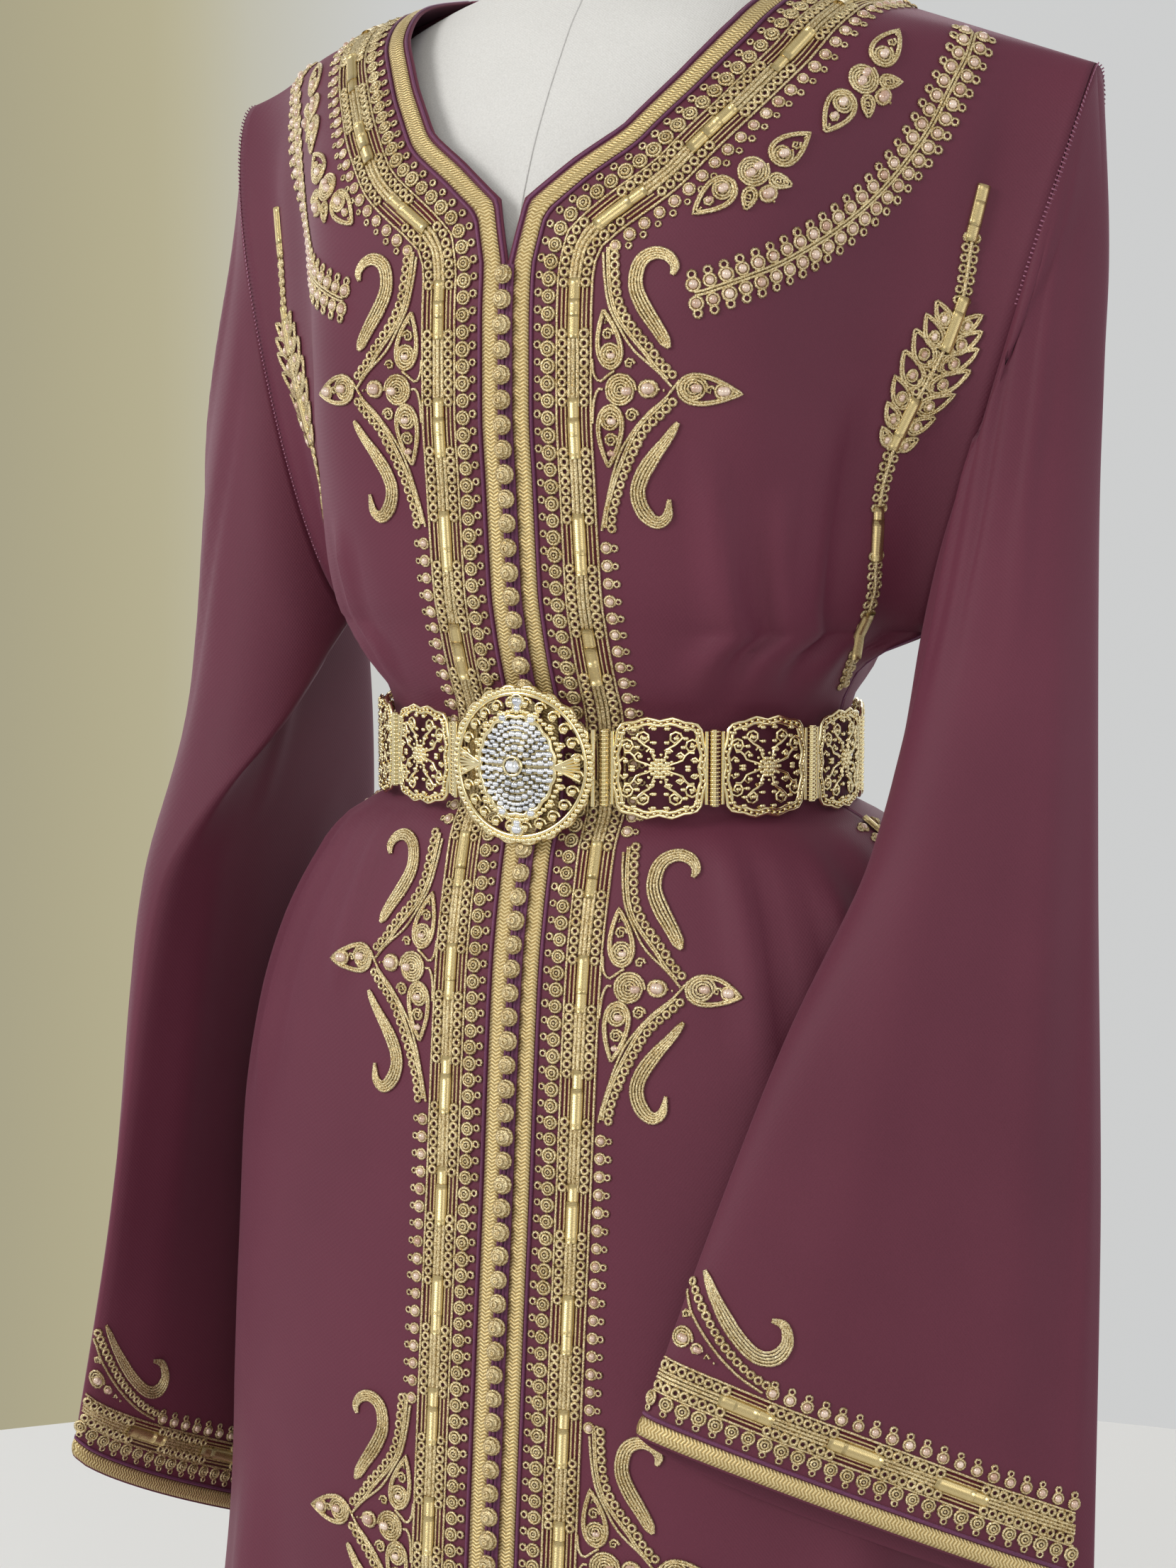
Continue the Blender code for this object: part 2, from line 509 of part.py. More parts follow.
class Skin:
    # All the cloth as one welded surface, so pieces that meet at a seam share its points and their normals.

    def __init__(self):
        self.points = []
        self.index = {}
        self.pieces = {}

    def add_point(self, point):
        key = tuple(np.round(point, 6) + 0.0)
        if key not in self.index:
            self.index[key] = len(self.points)
            self.points.append(np.array(point, float))
        return self.index[key]

    def add_grid(self, piece, grid, flip, closed=False):
        rows, columns = grid.shape[:2]
        ids = [[self.add_point(grid[row, column]) for column in range(columns)] for row in range(rows)]
        quads = []
        for row in range(rows - 1):
            for column in range(columns if closed else columns - 1):
                after = (column + 1) % columns
                quad = [ids[row][column], ids[row][after], ids[row + 1][after], ids[row + 1][column]]
                quads.append(tuple(reversed(quad)) if flip else tuple(quad))
        self.pieces.setdefault(piece, []).extend(quads)
        return ids

    def triangles(self, quads):
        # The same split on every wall that shares these points.
        result = []
        for quad in quads:
            corners = list(dict.fromkeys(quad))
            if len(corners) == 4:
                first = corners.index(min(corners))
                a, b, c, d = corners[first:] + corners[:first]
                result += [(a, b, c), (a, c, d)]
            elif len(corners) == 3:
                result.append(tuple(corners))
        return result

    def finish(self):
        self.points = np.array(self.points)
        self.normals = np.zeros_like(self.points)
        self.users = {}
        for name, quads in self.pieces.items():
            for triangle in self.triangles(quads):
                a, b, c = self.points[list(triangle)]
                normal = np.cross(b - a, c - a)
                for corner in triangle:
                    self.normals[corner] += normal
                    self.users.setdefault(corner, set()).add(name)
        lengths = np.linalg.norm(self.normals, axis=1, keepdims=True)
        self.normals /= np.maximum(lengths, 1e-15)

    def drawn_in(self, name):
        # A piece's points, drawn back from its seams with other pieces.
        pulls = {}
        for triangle in self.triangles(self.pieces[name]):
            middle = self.points[list(triangle)].mean(axis=0)
            for corner in triangle:
                pulls.setdefault(corner, []).append(middle - self.points[corner])
        moved = {}
        for corner, ways in pulls.items():
            point = self.points[corner].copy()
            if len(self.users[corner]) > 1:
                way = np.sum([unit(w) for w in ways], axis=0)
                way -= self.normals[corner] * np.dot(way, self.normals[corner])
                point += unit(way) * SEAM_PULL
            moved[corner] = point
        return moved

    def wall(self, name, triangles, low, high, look, moved):
        # A closed wall over some triangles: low and high give each point's inner and outer offset.
        corners = sorted({corner for triangle in triangles for corner in triangle})
        place = {corner: index for index, corner in enumerate(corners)}
        inner = [moved[c] + self.normals[c] * low(c) for c in corners]
        outer = [moved[c] + self.normals[c] * high(c) for c in corners]
        count = len(corners)
        faces, edges = [], {}
        for a, b, c in triangles:
            faces.append((place[a] + count, place[b] + count, place[c] + count))
            faces.append((place[c], place[b], place[a]))
            for start, end in ((a, b), (b, c), (c, a)):
                edges[(start, end)] = True
        for start, end in edges:
            if (end, start) not in edges:
                i, j = place[start], place[end]
                faces.append((i, j, j + count))
                faces.append((i, j + count, i + count))
        return add_object(name, inner + outer, faces, look)


def build_skin():
    skin = Skin()
    rows = {}
    for side, tag in ((1, "left"), (-1, "right")):
        front = front_grid(side)
        back = back_grid(side, front[-1])
        for index, place in enumerate(FRONT_PLACES):
            if place <= UNDERARM_LEVEL:
                back[index, -1] = front[index, -1]
        rows["front_" + tag] = skin.add_grid("front_" + tag, front, flip=side < 0)
        rows["back_" + tag] = skin.add_grid("back", back, flip=side > 0)
        first = FRONT_PLACES.index(UNDERARM_LEVEL)
        arms = [blend(LEVELS, place).arm for place in FRONT_PLACES[first:]]
        arms[0], arms[-1] = 0.0, 1.0
        table = SLEEVE_LEFT if side > 0 else SLEEVE_RIGHT
        sleeve = sleeve_grid(table, side, arms)
        front_edge = front[first:, -1]
        back_edge = back[first:, -1]
        sleeve[0] = np.concatenate([front_edge, back_edge[-2:0:-1]])
        rows["sleeve_" + tag] = skin.add_grid("sleeve_" + tag, sleeve, flip=side > 0, closed=True)
    skin.finish()
    return skin, rows


def build_cloth(skin, rows):
    raised = {}
    for tag in ("left", "right"):
        for row in rows["front_" + tag]:
            raised[row[3]] = BAND_RAISE
            raised[row[4]] = BAND_RAISE
        cuff = rows["sleeve_" + tag]
        for ring in (cuff[-4], cuff[-3]):
            for corner in ring:
                raised[corner] = BAND_RAISE
    moved = {}
    for name, quads in skin.pieces.items():
        moved[name] = skin.drawn_in(name)
        skin.wall(name, skin.triangles(quads), lambda c: 0.0, lambda c: WALL + raised.get(c, 0.0), PLUM,
                  moved[name])
    return moved


def strip_quads(ids, first, last, columns, flip):
    quads = []
    for row in range(first, last):
        for column in columns:
            quad = [ids[row][column], ids[row][column + 1], ids[row + 1][column + 1], ids[row + 1][column]]
            quads.append(tuple(reversed(quad)) if flip else tuple(quad))
    return quads


def build_braids(skin, rows, moved):
    low, high = (lambda c: WALL + GAP), (lambda c: WALL + GAP + BRAID_THICK)
    for side, tag in ((1, "left"), (-1, "right")):
        ids = rows["front_" + tag]
        quads = strip_quads(ids, 0, len(ids) - 1, [1], side < 0)
        skin.wall("braid_" + tag, skin.triangles(quads), low, high, GOLD_CORD, moved["front_" + tag])
        cuff = rows["sleeve_" + tag]
        quads = []
        for column in range(len(cuff[0])):
            after = (column + 1) % len(cuff[0])
            quad = [cuff[-2][column], cuff[-2][after], cuff[-1][after], cuff[-1][column]]
            quads.append(tuple(reversed(quad)) if side > 0 else tuple(quad))
        skin.wall("cuff_braid_" + tag, skin.triangles(quads), low, high, GOLD_CORD, moved["sleeve_" + tag])


def build_neck_braid(skin, rows, moved):
    # The braid along the back neck lies on the back's outer facets.
    outer = {c: moved["back"][c] + skin.normals[c] * WALL for c in moved["back"]}
    order = {corner: index for index, corner in enumerate(outer)}
    triangles = [tuple(order[c] for c in tri) for tri in skin.triangles(skin.pieces["back"])]
    tree = BVHTree.FromPolygons([Vector(p) for p in outer.values()], triangles)
    first = FRONT_PLACES.index(BACK_NECK_LEVEL)
    corners = [row[0] for row in rows["back_left"][:first - 1:-1]]
    corners += [row[0] for row in rows["back_right"][first + 1:]]
    edge = np.array([outer[corner] for corner in corners])
    normals = np.array([skin.normals[corner] for corner in corners])
    lengths = np.concatenate([[0], np.cumsum(np.linalg.norm(np.diff(edge, axis=0), axis=1))])
    stations = np.linspace(NECK_END, lengths[-1] - NECK_END, NECK_STATIONS + 1)
    spots = np.array([[np.interp(s, lengths, edge[:, i]) for i in range(3)] for s in stations])
    ups = np.array([unit([np.interp(s, lengths, normals[:, i]) for i in range(3)]) for s in stations])
    rails, lifts = [], []
    for station, (spot, up) in enumerate(zip(spots, ups)):
        run = spots[min(station + 1, NECK_STATIONS)] - spots[max(station - 1, 0)]
        away = unit(np.cross(run, up))
        found = [tree.find_nearest(Vector(spot + away * down)) for down in (BRAID_INNER, BRAID_OUTER)]
        rails.append([near for near, _, _, _ in found])
        lifts.append((found[0][1] + found[1][1]).normalized())
    points, faces = [], []
    for station, (pair, lift) in enumerate(zip(rails, lifts)):
        # Clear of every ridge of the facets between this station and the next ones.
        spans = [rails[i] for i in (station - 1, station, station + 1) if 0 <= i <= NECK_STATIONS]
        middles = [(near + far) / 2 for near in pair for span in spans for far in span]
        ridge = max((tree.find_nearest(middle)[0] - middle).dot(lift) for middle in middles)
        clear = NECK_CLEAR + 1.5 * max(ridge, 0.0)
        for near in pair:
            points += [near + lift * clear, near + lift * (clear + BRAID_THICK)]
    for station in range(NECK_STATIONS):
        a, b = 4 * station, 4 * (station + 1)
        faces += [(a, b, b + 2, a + 2), (a + 1, a + 3, b + 3, b + 1), (a, a + 1, b + 1, b),
                  (a + 2, b + 2, b + 3, a + 3)]
    last = 4 * NECK_STATIONS
    faces += [(0, 2, 3, 1), (last, last + 1, last + 3, last + 2)]
    add_object("braid_neck", points, faces, GOLD_CORD)


def build_buttons(skin, rows, moved):
    # A stand of loops on the closed fronts, each button a small rise on it.
    left = rows["front_left"]
    line = np.array([skin.points[row[0]] + skin.normals[row[0]] * WALL for row in left])
    line = line[[i for i, p in enumerate(FRONT_PLACES) if p < CORNER_LEVEL]]
    lengths = np.concatenate([[0], np.cumsum(np.linalg.norm(np.diff(line, axis=0), axis=1))])
    top = np.interp(TOP_BUTTON, line[:, 2], lengths) - 0.001

    def base(length):
        return np.array([np.interp(length, lengths, line[:, axis]) for axis in (1, 2)])

    points, faces = [], []
    for number in range(BUTTON_COUNT + 1):
        y, z = base(top - number * BUTTON_PITCH)
        for lift in (STAND_CLEAR, STAND_CLEAR + STAND_THICK):
            points += [(-BUTTON_HALF, y - lift, z), (BUTTON_HALF, y - lift, z)]
    for number in range(BUTTON_COUNT):
        y, z = base(top - (number + 0.5) * BUTTON_PITCH)
        peak = len(points)
        points.append((0.0, y - GAP - BUTTON_RISE, z))
        a, b = 4 * number, 4 * (number + 1)
        faces += [(a + 2, peak, a + 3), (b + 2, peak, a + 2), (b + 3, peak, b + 2), (a + 3, peak, b + 3)]
        faces += [(a, a + 1, b + 1, b), (a, b, b + 2, a + 2), (a + 1, a + 3, b + 3, b + 1)]
    last = 4 * BUTTON_COUNT
    faces += [(0, 2, 3, 1), (last, last + 1, last + 3, last + 2)]
    add_object("button_row", points, faces, GOLD_CORD)


def belt_ring(angle, out=0.0):
    # A point of the belt's middle line in plan, angle 0 at the front centre, and its outward direction.
    spot = np.array([BELT_HALF_X * math.sin(angle), BELT_SHIFT - BELT_HALF_Y * math.cos(angle)])
    way = unit([math.sin(angle) / BELT_HALF_X, -math.cos(angle) / BELT_HALF_Y])
    return spot + way * out


def belt_angles():
    # Angles along the ring for even steps of length.
    angles = np.linspace(0, 2 * math.pi, 721)
    spots = np.array([belt_ring(angle) for angle in angles])
    lengths = np.concatenate([[0], np.cumsum(np.linalg.norm(np.diff(spots, axis=0), axis=1))])
    return angles, lengths


def curved_plate(name, middle, outline, angles, lengths, off, rise, look):
    # A plate that follows the ring, from an outline given as steps along the ring and heights.
    # It stands off the ring's middle line and rises more at its centre.
    points = []
    ring_length = lengths[-1]
    count = len(outline)
    for out in (off - BELT_METAL / 2, off + BELT_METAL / 2):
        for along, tall in outline:
            angle = np.interp((middle + along) % ring_length, lengths, angles)
            x, y = belt_ring(angle, out)
            points.append((x, y, BELT_HEIGHT + tall))
    centre_angle = np.interp(middle % ring_length, lengths, angles)
    for out in (off - BELT_METAL / 2, off + BELT_METAL / 2 + rise):
        x, y = belt_ring(centre_angle, out)
        points.append((x, y, BELT_HEIGHT))
    faces = []
    for index in range(count):
        after = (index + 1) % count
        faces.append((index, after, after + count, index + count))
        faces.append((after, index, 2 * count))
        faces.append((index + count, after + count, 2 * count + 1))
    return add_object(name, points, faces, look)


def lobed_outline(width, tall, points, lobes, depth):
    # A rounded outline whose edge swings in and out, as cast filigree plates have.
    outline = []
    for index in range(points):
        angle = 2 * math.pi * index / points
        swing = 1 - depth * (0.5 + 0.5 * math.cos(lobes * angle))
        square = (abs(math.cos(angle)) ** 4 + abs(math.sin(angle)) ** 4) ** -0.25
        outline.append((width / 2 * math.cos(angle) * square * swing,
                        tall / 2 * math.sin(angle) * square * swing))
    return outline


def oval_outline(width, tall, points):
    return [(width / 2 * math.cos(2 * math.pi * i / points), tall / 2 * math.sin(2 * math.pi * i / points))
            for i in range(points)]


def add_hinge(name, middle, angles, lengths):
    angle = np.interp(middle % lengths[-1], lengths, angles)
    x, y = belt_ring(angle)
    radius = HINGE_WIDTH / 2 - GAP * 2
    mesh = bmesh.new()
    bmesh.ops.create_cone(mesh, cap_ends=True, segments=8, radius1=radius, radius2=radius, depth=HINGE_TALL)
    data = bpy.data.meshes.new(name)
    mesh.to_mesh(data)
    mesh.free()
    data.materials.append(make_material(name, GOLD_METAL))
    data.shade_smooth()
    data.set_sharp_from_angle(angle=math.radians(50))
    thing = bpy.data.objects.new(name, data)
    thing.location = (x, y, BELT_HEIGHT)
    bpy.context.scene.collection.objects.link(thing)


def build_belt():
    angles, lengths = belt_angles()
    free = lengths[-1] - BUCKLE_WIDTH
    pitch = (free - HINGE_WIDTH) / PLATE_COUNT
    buckle = oval_outline(BUCKLE_WIDTH - 2 * GAP, BUCKLE_TALL, BUCKLE_POINTS)
    curved_plate("belt_buckle", 0.0, buckle, angles, lengths, BUCKLE_OFF, BUCKLE_RISE, GOLD_METAL)
    plate = lobed_outline(pitch - HINGE_WIDTH - 2 * GAP, PLATE_TALL, PLATE_POINTS, PLATE_LOBES, PLATE_DIP)
    for number in range(PLATE_COUNT):
        start = BUCKLE_WIDTH / 2 + HINGE_WIDTH + number * pitch
        middle = start + (pitch - HINGE_WIDTH) / 2
        curved_plate(f"belt_plate_{number + 1:02d}", middle, plate, angles, lengths, 0.0,
                     PLATE_RISE, GOLD_METAL)
    for number in range(PLATE_COUNT + 1):
        middle = BUCKLE_WIDTH / 2 + HINGE_WIDTH / 2 + number * pitch
        add_hinge(f"belt_hinge_{number + 1:02d}", middle, angles, lengths)


def form_section(ring):
    points = []
    power = 2.0 / ring.full
    for index in range(FORM_SIDES):
        angle = 2 * math.pi * index / FORM_SIDES
        sine, cosine = math.sin(angle), math.cos(angle)
        depth = (ring.front - ring.shift) if cosine > 0 else (ring.back + ring.shift)
        x = ring.half * math.copysign(abs(sine) ** power, sine)
        y = -ring.shift - depth * math.copysign(abs(cosine) ** power, cosine)
        points.append((x, y, ring.z))
    return points


def loft(name, sections, look):
    count = len(sections[0])
    points = [point for ring in sections for point in ring]
    faces = []
    for ring in range(len(sections) - 1):
        for index in range(count):
            after = (index + 1) % count
            a, b = ring * count, (ring + 1) * count
            faces.append((a + index, a + after, b + after, b + index))
    faces.append(tuple(reversed(range(count))))
    faces.append(tuple(range((len(sections) - 1) * count, len(sections) * count)))
    return add_object(name, points, faces, look)


def disc_stack(name, rings, look, sides, centre_y=0.0):
    sections = []
    for radius, z in rings:
        sections.append([(radius * math.cos(2 * math.pi * i / sides),
                          centre_y + radius * math.sin(2 * math.pi * i / sides), z) for i in range(sides)])
    return loft(name, sections, look)


def build_form():
    loft("form_torso", [form_section(ring) for ring in FORM], LINEN)
    top = FORM[-1]
    cap = []
    for scale, up in ((1.0, GAP), (1.03, 0.002), (1.03, CAP_THICK - 0.003), (0.9, CAP_THICK)):
        ring = top._replace(half=top.half * scale, front=top.front * scale, back=top.back * scale,
                            z=top.z + up)
        cap.append(form_section(ring))
    loft("form_cap", cap, DARK_WOOD)
    disc_stack("form_post", [(POST_RADIUS, BASE_THICK + GAP), (POST_RADIUS, FORM[0].z - GAP)], STEEL, 20)
    disc_stack("form_base", [(BASE_RADIUS, 0.0), (BASE_RADIUS, BASE_THICK * 0.6),
                             (BASE_RADIUS * 0.94, BASE_THICK), (0.03, BASE_THICK)], STEEL, 40)


def main():
    clear_scene()
    skin, rows = build_skin()
    moved = build_cloth(skin, rows)
    build_braids(skin, rows, moved)
    build_neck_braid(skin, rows, moved)
    build_buttons(skin, rows, moved)
    build_belt()
    build_form()


main()
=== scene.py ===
import math
from math import cos, pi, radians, sin
import bmesh
import bpy
import numpy as np
from mathutils import Matrix, Vector
from mathutils.bvhtree import BVHTree


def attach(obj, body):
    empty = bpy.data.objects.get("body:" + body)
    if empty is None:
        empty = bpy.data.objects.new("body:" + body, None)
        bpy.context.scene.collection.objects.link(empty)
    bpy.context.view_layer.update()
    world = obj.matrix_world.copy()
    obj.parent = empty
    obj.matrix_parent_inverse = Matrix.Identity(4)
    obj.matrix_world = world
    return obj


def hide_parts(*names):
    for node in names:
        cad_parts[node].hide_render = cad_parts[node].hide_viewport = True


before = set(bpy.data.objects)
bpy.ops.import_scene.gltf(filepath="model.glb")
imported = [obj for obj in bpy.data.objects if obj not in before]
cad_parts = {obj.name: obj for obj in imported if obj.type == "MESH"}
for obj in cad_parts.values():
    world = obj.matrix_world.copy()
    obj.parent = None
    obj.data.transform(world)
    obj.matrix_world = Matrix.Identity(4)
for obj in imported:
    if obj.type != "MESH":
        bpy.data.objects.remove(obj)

norm = np.linalg.norm
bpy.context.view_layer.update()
scene = bpy.context.scene


def unit(v):
    v = np.asarray(v, float)
    return v / max(norm(v), 1e-12)


def makeObject(name, points, faces, material=None, smooth=True):
    mesh = bpy.data.meshes.new(name)
    mesh.from_pydata([tuple(map(float, p)) for p in points], [], [tuple(map(int, f)) for f in faces])
    mesh.validate()
    thing = bpy.data.objects.new(name, mesh)
    scene.collection.objects.link(thing)
    if material:
        mesh.materials.append(material)
    if smooth:
        mesh.shade_smooth()
    return thing


def layUv(thing, uvs):  # one pair for each corner of each face
    layer = thing.data.uv_layers.new(name="UVMap")
    for polygon, corners in zip(thing.data.polygons, uvs):
        for loop, uv in zip(polygon.loop_indices, corners):
            layer.data[loop].uv = uv


def finishPiece(thing, slot, *nodes):  # rides the one body and stands for its solids
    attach(thing, "root")
    if nodes:
        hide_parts(*nodes)
    return thing


def joinMeshes(name, things):
    bm = bmesh.new()
    materials = []
    for thing in things:
        first = len(bm.faces)
        slots = []
        for material in thing.data.materials:
            if material not in materials:
                materials.append(material)
            slots.append(materials.index(material))
        bm.from_mesh(thing.data)
        bm.faces.ensure_lookup_table()
        for face in bm.faces[first:]:
            face.material_index = slots[face.material_index] if slots else 0
    mesh = bpy.data.meshes.new(name)
    bm.to_mesh(mesh)
    bm.free()
    for material in materials:
        mesh.materials.append(material)
    for thing in things:
        bpy.data.objects.remove(thing)
    joined = bpy.data.objects.new(name, mesh)
    scene.collection.objects.link(joined)
    return joined


view = {"place": (0.7476, -1.5177, 1.2216), "around": 27.067, "above": 6.945, "roll": 0.175, "lens": 69.73}
lights = [  # name, place, aim, size, watts, colour
    ("windowSoft", (-1.9, -2.9, 2.5), (0, 0, 1.0), 1.5, 62, (1.0, 0.985, 0.96)),
    ("frontSoft", (1.6, -3.2, 1.9), (0, 0, 1.0), 2.0, 24, (1.0, 0.99, 0.975)),
    ("sideFill", (3.0, 0.3, 1.7), (0, 0, 0.9), 2.2, 13, (0.97, 0.985, 1.0)),
    ("backSoft", (-0.9, 3.1, 2.4), (0, 0, 1.0), 2.4, 24, (1.0, 0.99, 0.98)),
    ("leftFill", (-3.0, 0.8, 1.6), (0, 0, 0.9), 2.2, 13, (1.0, 0.99, 0.97)),
]


# the room is pale, with an olive wall to one side: colours by direction, from one side of the room to the other
roomAcross = (0.891, 0.454, 0.0)
roomPale = (0.8, 0.81, 0.82)
roomTints = [(0.0, roomPale), (0.3, roomPale), (0.36, (0.44, 0.41, 0.3)), (0.395, (0.46, 0.43, 0.31)),
        (0.43, (0.62, 0.56, 0.34)), (0.445, (0.66, 0.64, 0.52)), (0.47, roomPale), (1.0, roomPale)]


def addCamera():
    turn, rise, roll = (radians(view[k]) for k in ("around", "above", "roll"))
    back = np.array([sin(turn) * cos(rise), -cos(turn) * cos(rise), sin(rise)])
    right = np.array([cos(turn), sin(turn), 0.0])
    up = np.cross(back, right)
    rightRolled = right * cos(roll) + up * sin(roll)
    upRolled = up * cos(roll) - right * sin(roll)
    data = bpy.data.cameras.new("photoCamera")
    data.sensor_fit = "VERTICAL"
    data.sensor_height = 36.0
    data.lens = view["lens"]
    camera = bpy.data.objects.new("photoCamera", data)
    scene.collection.objects.link(camera)
    rows = [[rightRolled[i], upRolled[i], back[i], view["place"][i]] for i in range(3)]
    camera.matrix_world = Matrix(rows + [[0, 0, 0, 1]])
    scene.camera = camera


def addLights():
    for name, place, aim, size, watts, colour in lights:
        data = bpy.data.lights.new(name, "AREA")
        data.shape = "DISK"
        data.size = size
        data.energy = watts
        data.color = colour
        lamp = bpy.data.objects.new(name, data)
        lamp.location = place
        lamp.rotation_euler = (Vector(aim) - Vector(place)).to_track_quat("-Z", "Y").to_euler()
        scene.collection.objects.link(lamp)
    world = bpy.data.worlds.new("paleRoom")
    world.use_nodes = True
    nodes, links = world.node_tree.nodes, world.node_tree.links
    backdrop = nodes["Background"]
    coords = nodes.new("ShaderNodeTexCoord")
    across = nodes.new("ShaderNodeVectorMath")
    across.operation = "DOT_PRODUCT"
    across.inputs[1].default_value = roomAcross
    tints = nodes.new("ShaderNodeValToRGB")
    tints.color_ramp.interpolation = "B_SPLINE"
    for place, tint in roomTints[1:-1]:
        tints.color_ramp.elements.new(place).color = (*tint, 1)
    for element, (place, tint) in zip(tints.color_ramp.elements, roomTints):
        element.position, element.color = place, (*tint, 1)
    half = nodes.new("ShaderNodeMath")
    half.operation = "MULTIPLY_ADD"
    half.inputs[1].default_value = half.inputs[2].default_value = 0.5
    links.new(coords.outputs["Generated"], across.inputs[0])
    links.new(across.outputs["Value"], half.inputs[0])
    links.new(half.outputs[0], tints.inputs["Fac"])
    links.new(tints.outputs["Color"], backdrop.inputs["Color"])
    backdrop.inputs["Strength"].default_value = 0.78
    scene.world = world
    scene.view_settings.view_transform = "Standard"


def addFloor():
    bm = bmesh.new()
    bmesh.ops.create_circle(bm, cap_ends=True, segments=96, radius=2.0)
    mesh = bpy.data.meshes.new("studioFloor")
    bm.to_mesh(mesh)
    bm.free()
    mesh.transform(Matrix.Translation((0, 0, -0.0005)))
    material = bpy.data.materials.new("studioFloor")
    material.use_nodes = True
    nodes, links = material.node_tree.nodes, material.node_tree.links
    shader = nodes["Principled BSDF"]
    grain = nodes.new("ShaderNodeTexNoise")
    grain.inputs["Scale"].default_value = 3.0
    tint = nodes.new("ShaderNodeMix")
    tint.data_type = "RGBA"
    tint.inputs["A"].default_value = (0.7, 0.7, 0.69, 1)
    tint.inputs["B"].default_value = (0.74, 0.735, 0.73, 1)
    links.new(grain.outputs["Fac"], tint.inputs["Factor"])
    links.new(tint.outputs["Result"], shader.inputs["Base Color"])
    shader.inputs["Roughness"].default_value = 0.7
    mesh.materials.append(material)
    floor = bpy.data.objects.new("studioFloor", mesh)
    scene.collection.objects.link(floor)


addCamera()
addLights()
addFloor()
print("stage: camera, floor and light ready")


body = {"wall": 0.0012, "shoulderTip": (0.2545, 0.015, 1.4), "underarm": (0.177, -0.008, 1.108),
        "armholeDepth": 0.032, "armholeBow": 0.009, "corner": 1.33, "topButton": 1.298, "slitHalf": 0.007,
        "rowStep": 0.0075, "sideColumns": 30}
# height, half width, front, back, shift, fullness, web reach, web drop, place on the armhole
levels = np.array([
    (0.03, 0.286, 0.2, 0.205, 0, 2.1, 0, 0, 0), (0.18, 0.277, 0.192, 0.194, 0, 2.1, 0, 0, 0),
    (0.34, 0.266, 0.183, 0.18, 0, 2.15, 0, 0, 0), (0.5, 0.252, 0.172, 0.166, 0, 2.2, 0, 0, 0),
    (0.62, 0.243, 0.163, 0.156, 0, 2.2, 0, 0, 0), (0.73, 0.24, 0.154, 0.146, 0, 2.2, 0, 0, 0),
    (0.82, 0.233, 0.146, 0.135, 0.001, 2.25, 0, 0, 0), (0.885, 0.219, 0.141, 0.127, 0.004, 2.25, 0, 0, 0),
    (0.935, 0.199, 0.136, 0.118, 0.008, 2.25, 0, 0, 0), (0.975, 0.176, 0.128, 0.107, 0.011, 2.2, 0, 0, 0),
    (1.0, 0.155, 0.121, 0.098, 0.014, 2.2, 0, 0, 0), (1.014, 0.1325, 0.114, 0.085, 0.016, 2.0, 0, 0, 0),
    (1.04, 0.129, 0.113, 0.082, 0.017, 2.0, 0, 0, 0), (1.066, 0.1315, 0.116, 0.084, 0.018, 2.0, 0, 0, 0),
    (1.083, 0.138, 0.1225, 0.088, 0.021, 2.15, 0.001, 0.001, 0),
    (1.097, 0.142, 0.128, 0.091, 0.024, 2.2, 0.008, 0.003, 0),
    (1.106, 0.144, 0.131, 0.092, 0.026, 2.25, 0.019, 0.005, 0),
    (1.113, 0.1455, 0.133, 0.093, 0.028, 2.3, 0.0315, 0.005, 0), (1.128, 0.147, 0.137, 0.095, 0.03, 2.5, 0, 0, 0.12),
    (1.15, 0.148, 0.1395, 0.098, 0.032, 2.8, 0, 0, 0.22), (1.185, 0.147, 0.143, 0.101, 0.038, 3.2, 0, 0, 0.33),
    (1.225, 0.146, 0.147, 0.105, 0.044, 3.5, 0, 0, 0.43), (1.265, 0.147, 0.147, 0.108, 0.045, 3.6, 0, 0, 0.52),
    (1.302, 0.15, 0.144, 0.109, 0.042, 3.4, 0, 0, 0.6), (1.33, 0.158, 0.1395, 0.109, 0.036, 3.1, 0, 0, 0.67),
    (1.358, 0.168, 0.13, 0.105, 0.028, 2.8, 0, 0, 0.73), (1.385, 0.178, 0.115, 0.098, 0.018, 2.6, 0, 0, 0.79),
    (1.41, 0.188, 0.1, 0.088, 0.008, 2.5, 0, 0, 0.85), (1.43, 0.196, 0.088, 0.076, 0.002, 2.4, 0, 0, 0.9),
    (1.46, 0.205, 0.056, 0.048, -0.002, 2.2, 0, 0, 0.96), (1.4846, 0.212, -0.004, 0.004, -0.004, 2.0, 0, 0, 1.0)])
beltLevel, underarmLevel, cornerLevel, backNeckLevel = 13, 17, 24, 28
frontNeck = [(0.007, 1.33), (0.032, 1.35), (0.054, 1.365), (0.075, 1.392), (0.094, 1.42), (0.102, 1.437),
        (0.105, 1.452)]
backNeck = [(0.0, 1.43), (0.055, 1.434), (0.088, 1.443), (0.105, 1.452)]
